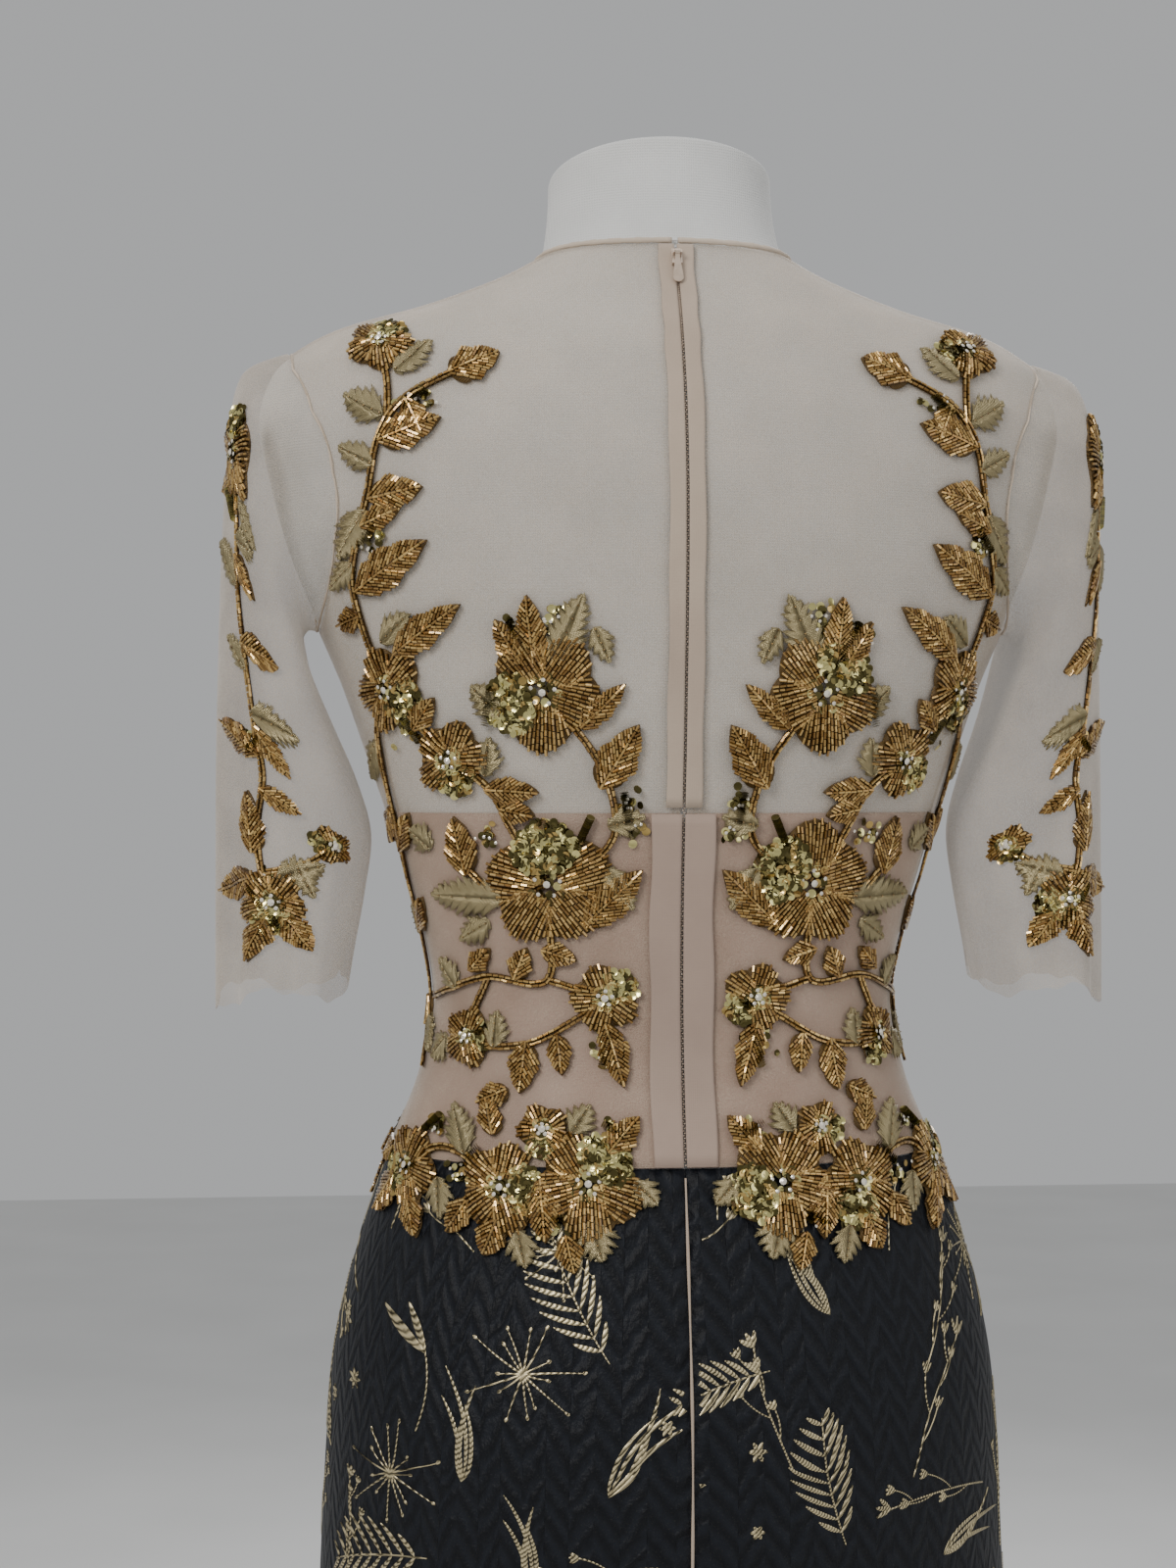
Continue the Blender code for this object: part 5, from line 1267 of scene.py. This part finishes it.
        for label, group, surface in (("ground", self.grounds, GROUND_PAINTED_SHADE),
                                      ("thread", self.threads, PALE_THREAD)):
            points, faces, total = [], [], 0
            for item in group:
                if isinstance(item[0], str) and item[0] == "strip":
                    left, right = (place(edge, np.full(len(edge), 0.7))[0] for edge in item[1:3])
                    points += [left, right]
                    count = len(left)
                    faces += [(total + k, total + k + 1, total + count + k + 1, total + count + k)
                              for k in range(count - 1)]
                    total += 2 * count
                elif isinstance(item[0], str):
                    line = np.linspace(item[1], item[2], 4)
                    above = DOME_EDGE + (DOME_CROWN - DOME_EDGE) * np.array((0.9, 1.05, 0.8, 0.2))
                    centres, normals = place(line, above)
                    made, quads = tube(centres, np.array((0.35, 0.62, 0.60, 0.22)) * MM, 4, up=normals)
                    points.append(made)
                    faces += [tuple(total + i for i in face) for face in quads]
                    total += len(made)
                else:
                    flat, middle, above = item
                    rim, _ = place(flat, np.array(above) - 0.1)
                    edge, _ = place(flat, np.full(len(flat), 0.15))
                    inner, _ = place(middle + (flat - middle) * 0.55, np.full(len(flat), DOME_CROWN * 0.78))
                    top, _ = place(middle[None], np.array([DOME_CROWN * 0.85]))
                    points += [edge, rim, inner, top]
                    count = len(flat)
                    for k in range(count):
                        after = (k + 1) % count
                        faces.append((total + k, total + after, total + count + after, total + count + k))
                        faces.append((total + count + k, total + count + after, total + 2 * count + after,
                                      total + 2 * count + k))
                        faces.append((total + 2 * count + k, total + 2 * count + after, total + 3 * count))
                    total += 3 * count + 1
            if points:
                piece = add_mesh(f"{name}_{label}", np.concatenate(points), turned(faces))
                finish(piece, surface, [replaced] if label == "ground" else ())
        rods = np.array(self.bugles)
        radius = BUGLE_RADIUS
        start, normal = place(rods[:, 0:2], rods[:, 4] + radius)
        end, _ = place(rods[:, 2:4], rods[:, 5] + radius)
        points, faces = beads_mesh(start, end, normal, radius * MM, 5)
        piece = add_mesh(f"{name}_bugles", points, turned(faces), smooth=False,
                         tone=self.tones(rods[:, 6], BUGLE_PAINTED_HIGHLIGHT))
        finish(piece, BEADS)
        small = np.array(self.seeds)
        centre, normal = place(small[:, 0:2], small[:, 2])
        points, faces = domes_mesh(centre, normal, small[:, 3] * MM, 0.8 * MM, 6)
        piece = add_mesh(f"{name}_seeds", points, turned(faces),
                         tone=self.tones(np.ones(len(small)), SEED_PAINTED_HIGHLIGHT))
        finish(piece, BEADS)
        cups = np.array(self.sequins)
        centre, normal = place(cups[:, 0:2], cups[:, 2])
        tilt = self.random.normal(0, 0.28, (len(cups), 3))
        normal = normal + tilt
        normal /= np.linalg.norm(normal, axis=1, keepdims=True)
        points, faces = domes_mesh(centre, normal, cups[:, 3] * MM, -0.45 * MM, 10)
        pick = self.random.random(len(cups))
        tone = np.where((pick < 0.45)[:, None], (0.085, 0.075, 0.016), (0.80, 0.72, 0.30))
        tone = np.where((pick > 0.85)[:, None], (0.55, 0.38, 0.12), tone)
        piece = add_mesh(f"{name}_sequins", points, turned(faces), tone=np.repeat(tone, 11, axis=0))
        finish(piece, SEQUINS)
        coins = np.array(self.coin_list)
        centre, normal = place(coins[:, 0:2], coins[:, 2])
        ahead = place(coins[:, 0:2] + coins[:, 4:6], coins[:, 2])[0] - centre
        ahead /= np.linalg.norm(ahead, axis=1, keepdims=True)
        facing = normal * 0.45 + ahead
        facing /= np.linalg.norm(facing, axis=1, keepdims=True)
        points, faces = domes_mesh(centre, facing, coins[:, 3] * MM, -0.5 * MM, 12)
        tone = np.tile((0.16, 0.14, 0.035),
                       (len(coins), 1)) * (0.5 + self.random.random((len(coins), 1)) * 1.4)
        piece = add_mesh(f"{name}_stacks", points, turned(faces), tone=np.repeat(tone, 13, axis=0))
        finish(piece, SEQUINS)
        gems = np.array(self.crystals)
        centre, normal = place(gems[:, 0:2], gems[:, 2])
        points, faces = domes_mesh(centre, normal, gems[:, 3] * MM, gems[:, 3] * MM * 0.55, 8)
        tone = np.tile((0.80, 0.78, 0.70), (len(points), 1))
        piece = add_mesh(f"{name}_crystals", points, turned(faces), smooth=False, tone=tone)
        finish(piece, CRYSTAL)


def beadwork(seed, flowers, leaves, stems, sprays, clusters, coins):
    work = Beadwork(seed)
    for stem in stems:
        work.stem(stem)
    for index, leaf in enumerate(leaves):
        work.leaf(leaf, thread=index % 3 == 1)
    for index, leaf in enumerate(sprays):
        work.leaf(leaf, thread=index % 2 == 0)
    for flower in flowers:
        work.flower(flower)
    for cluster in clusters:
        work.cluster(cluster)
    for start, end in coins:
        work.coins(start, end)
    return work


def add_beadwork():
    over_net = lambda row: net_out(row / FINE)
    over_hip = lambda row: np.maximum(net_out(row / FINE), 2.5 * MM)
    sides = (("left", False), ("right", True))
    for side, mirror in sides:
        seed = 11 + mirror
        work = beadwork(seed, BODICE_FLOWERS, BODICE_LEAVES + SIDE_LEAVES, BODICE_STEMS + SIDE_STEMS,
                        BODICE_SPRAYS, BODICE_CLUSTERS, BODICE_COINS)
        work.lay(f"applique_back_{side}", body, mirror, over_net, f"applique_back_{side}")
        work = beadwork(seed + 10, HIP_FLOWERS, HIP_LEAVES, HIP_STEMS, HIP_SPRAYS, HIP_CLUSTERS, HIP_COINS)
        work.lay(f"applique_hip_back_{side}", body, mirror, over_hip, f"applique_hip_back_{side}")
        work = beadwork(seed + 20, SLEEVE_FLOWERS, SLEEVE_LEAVES, SLEEVE_STEMS, SLEEVE_SPRAYS,
                        SLEEVE_CLUSTERS, SLEEVE_COINS)
        work.lay(f"applique_sleeve_{side}", sleeve, mirror, lambda row: 0 * row, f"applique_sleeve_{side}")
    # Seen from the front, the unmirrored work is on the wearer's right
    for side, mirror in (("right", False), ("left", True)):
        seed = 51 + mirror
        work = beadwork(seed, BODICE_FLOWERS, BODICE_LEAVES, BODICE_STEMS, BODICE_SPRAYS, BODICE_CLUSTERS,
                        BODICE_COINS)
        work.lay(f"applique_front_{side}", front, mirror, over_net, f"applique_front_{side}")
        work = beadwork(seed + 10, HIP_FLOWERS, HIP_LEAVES, HIP_STEMS, HIP_SPRAYS, HIP_CLUSTERS, HIP_COINS)
        work.lay(f"applique_hip_front_{side}", front, mirror, over_hip, f"applique_hip_front_{side}")


# gold lines woven into the skirt
def curve(length, bend, count):
    """A line from the origin upwards that bends to one side, in millimetres."""
    share = np.linspace(0, 1, count)
    return np.stack([bend * length * share**2, length * share], axis=1)


def spindle(count, most, least=0.35):
    """Half widths of a strip that is widest at its middle."""
    return least + (most - least) * np.sin(math.pi * np.linspace(0, 1, count)) ** 0.8


def turned_line(line, degrees, at=(0, 0)):
    angle = math.radians(degrees)
    turn = np.array(((math.cos(angle), -math.sin(angle)), (math.sin(angle), math.cos(angle))))
    return line.dot(turn.T) + at


def fern():
    spine = curve(62, 0.16, 20)
    lines = [(spine, spindle(20, 0.6))]
    for k in range(2, 19, 2):
        size = 19 * math.sin(math.pi * (k / 20) ** 0.8) + 4
        for side in (1, -1):
            leaflet = curve(size, 0.15 * side, 8)
            lines.append((turned_line(leaflet, 52 * side, spine[k]), spindle(8, 1.5)))
    return lines


def burst():
    lines = []
    for k in range(15):
        size = 20 + 9 * math.sin(k * 2.7)
        ray = turned_line(curve(size, 0.12 * math.sin(k * 1.9), 9), k * 24)
        lines.append((ray, np.linspace(0.75, 0.3, 9)))
        lines.append((turned_line(curve(2.6, 0, 4), k * 24, ray[-1]), spindle(4, 1.1)))
    return lines


def grass():
    lines = []
    for bend, size, lean in ((0.5, 58, 12), (0.3, 46, -4), (-0.35, 52, -16), (-0.6, 38, -30), (0.75, 34, 34)):
        lines.append((turned_line(curve(size, bend, 16), lean), spindle(16, 1.25, 0.3)))
    return lines


def twig():
    stem = curve(70, -0.22, 22)
    lines = [(stem, np.full(22, 0.55))]
    for k, side, size in ((5, 1, 17), (9, -1, 20), (13, 1, 16), (17, -1, 13)):
        arm = turned_line(curve(size, 0.3 * side, 8), 38 * side, stem[k])
        lines.append((arm, np.full(8, 0.45)))
        lines += [(turned_line(curve(6, 0, 6), spread, arm[-1]), spindle(6, 1.2)) for spread in (-28, 0, 28)]
    lines += [(turned_line(curve(9, 0, 7), spread, stem[-1]), spindle(7, 1.5)) for spread in (-34, 0, 34)]
    return lines


def florets():
    lines = []
    for x, y, petals, size in ((0, 0, 7, 5.5), (23, 16, 6, 4.0), (-19, 27, 6, 4.4)):
        lines += [(turned_line(curve(size, 0, 5), k * 360 / petals, (x, y)), spindle(5, 1.3))
                  for k in range(petals)]
    return lines


def pods():
    lines = [(turned_line(curve(30, 0.1, 12), 18), spindle(12, 3.4, 0.4)),
             (turned_line(curve(22, -0.1, 10), -22), spindle(10, 2.6, 0.4))]
    lines.append((turned_line(curve(34, 0.35, 12), 150), np.full(12, 0.5)))
    return lines


def add_skirt_gold():
    """Scattered sprays in an order of their own, each turned and sized a little differently."""
    kinds = [fern(), burst(), grass(), twig(), florets(), pods(), grass(), twig()]
    random = np.random.default_rng(77)
    groups = {}
    for ring in range(17):
        for k in range(-7, 8):
            across = (k + 0.5 * (ring % 2)) * 54 + random.normal(0, 8)
            climb = 960 - ring * 56 + random.normal(0, 9) - 30
            size, lean = random.uniform(0.75, 1.15), random.normal(0, 38)
            flip = random.choice((-1, 1))
            for line, half in kinds[random.integers(len(kinds))]:
                flat = turned_line(line * (flip * size, size), lean) + (across, climb)
                add_ribbon(groups, flat, half * 0.85)
    for name, (points, faces) in groups.items():
        piece = add_mesh(f"skirt_gold_{name}", np.concatenate(points), faces)
        finish(piece, GOLD_THREAD)


def add_ribbon(groups, flat, half):
    """A strip along a line on the skirt, cut off at the hem, the seam and the centre back."""
    climb = flat[:, 1] * MM
    row = skirt.row_at(climb)
    most = np.interp(row, range(skirt.high), skirt.reach[1][:, -1])
    across = flat[:, 0] * MM
    inside = (climb > HEM + 6 * MM) & (climb < SKIRT_SEAM - 4 * MM) & (np.abs(across) < most - 4 * MM)
    inside &= np.abs(across) > 3.0 * MM
    inside &= np.sign(across) == np.sign(across[0])
    starts = np.flatnonzero(inside)
    if len(starts) < 3:
        return
    for run in np.split(starts, np.flatnonzero(np.diff(starts) > 1) + 1):
        if len(run) < 3:
            continue
        line = flat[run]
        ahead = np.gradient(line, axis=0)
        ahead /= np.maximum(np.linalg.norm(ahead, axis=1, keepdims=True), 1e-6)
        beside = np.stack([-ahead[:, 1], ahead[:, 0]], axis=1) * half[run][:, None]
        sides = []
        for sign in (-1, 0, 1):
            edge = (line + beside * sign) * MM
            sides.append(skirt.spot(edge[:, 0], edge[:, 1], (2.2 + 0.12 + 0.45 * (sign == 0)) * MM)[0])
        name = "left" if line[0, 0] > 0 else "right"
        points, faces = groups.setdefault(name, ([], []))
        total = sum(len(p) for p in points)
        count = len(line)
        points += sides
        for strip in (0, 1):
            base = total + strip * count
            faces += [(base + k, base + k + 1, base + count + k + 1, base + count + k)
                      for k in range(count - 1)]


# hard pieces of the zip
def set_materials():
    for name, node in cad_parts.items():
        hard = name in ("zip_slider", "zip_pull_tab")
        surface = STEEL if name.startswith("stand") else LACQUER if hard else None
        if surface:
            node.data.materials.clear()
            node.data.materials.append(surface)


# light and floor
def add_stage():
    n = Nodes("pale_floor")
    cloud = n.noise(n.where(), 3.0, 2.0)
    n.link(n.ramp(cloud, (0.3, (0.70, 0.70, 0.69)), (0.7, (0.74, 0.74, 0.73))), "Base Color")
    n.plain(Roughness=0.9)
    floor = add_mesh("floor", [(-6, -6, 0), (6, -6, 0), (6, 6, 0), (-6, 6, 0)], [(0, 1, 2, 3)])
    floor.data.materials.append(n.material)

    def area(name, at, target, size, power, colour=(1, 1, 1)):
        light = bpy.data.lights.new(name, "AREA")
        light.size = size
        light.energy = power
        light.color = colour
        lamp = bpy.data.objects.new(name, light)
        lamp.location = at
        lamp.rotation_euler = (Vector(target) - Vector(at)).to_track_quat("-Z", "Y").to_euler()
        bpy.context.collection.objects.link(lamp)

    area("key", (1.5, 2.0, 2.5), (0, 0, 1.1), 0.9, 44, (1, 0.98, 0.95))
    area("fill", (-1.9, 1.6, 1.5), (0, 0, 1.0), 1.6, 11)
    area("front", (-0.6, -2.4, 2.2), (0, 0, 1.0), 1.6, 30)
    area("top", (0, 0.2, 3.2), (0, 0, 1), 1.6, 14)
    world = bpy.data.worlds.new("studio")
    world.use_nodes = True
    world.node_tree.nodes["Background"].inputs[0].default_value = (0.80, 0.81, 0.82, 1)
    world.node_tree.nodes["Background"].inputs[1].default_value = 0.55
    bpy.context.scene.world = world


TAPE_UNDER_COIL = 0.002


def declare_sheets(pieces):
    """The cut of each piece of cloth: its width, length, layers, area and side are worked out, and nothing more
    is done with them.
    """
    for piece in pieces:
        width, length = cut_sizes[piece.name]
        layers = 1 if piece.name.endswith("_net") else 2
        area = sum(polygon.area for polygon in piece.data.polygons) / layers
        side = "left" if "left" in piece.name else "right"
        if piece.name.startswith("skirt"):
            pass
        elif piece.name.startswith("sleeve"):
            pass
        elif piece.name.startswith(("zip", "placket")):
            width = round(width + TAPE_UNDER_COIL, 3)


add_form()
cut_sizes = {}
cloth = add_panels() + add_sleeves() + add_zip()
add_binding()
add_beadwork()
add_skirt_gold()
set_materials()
add_stage()
declare_sheets(cloth)
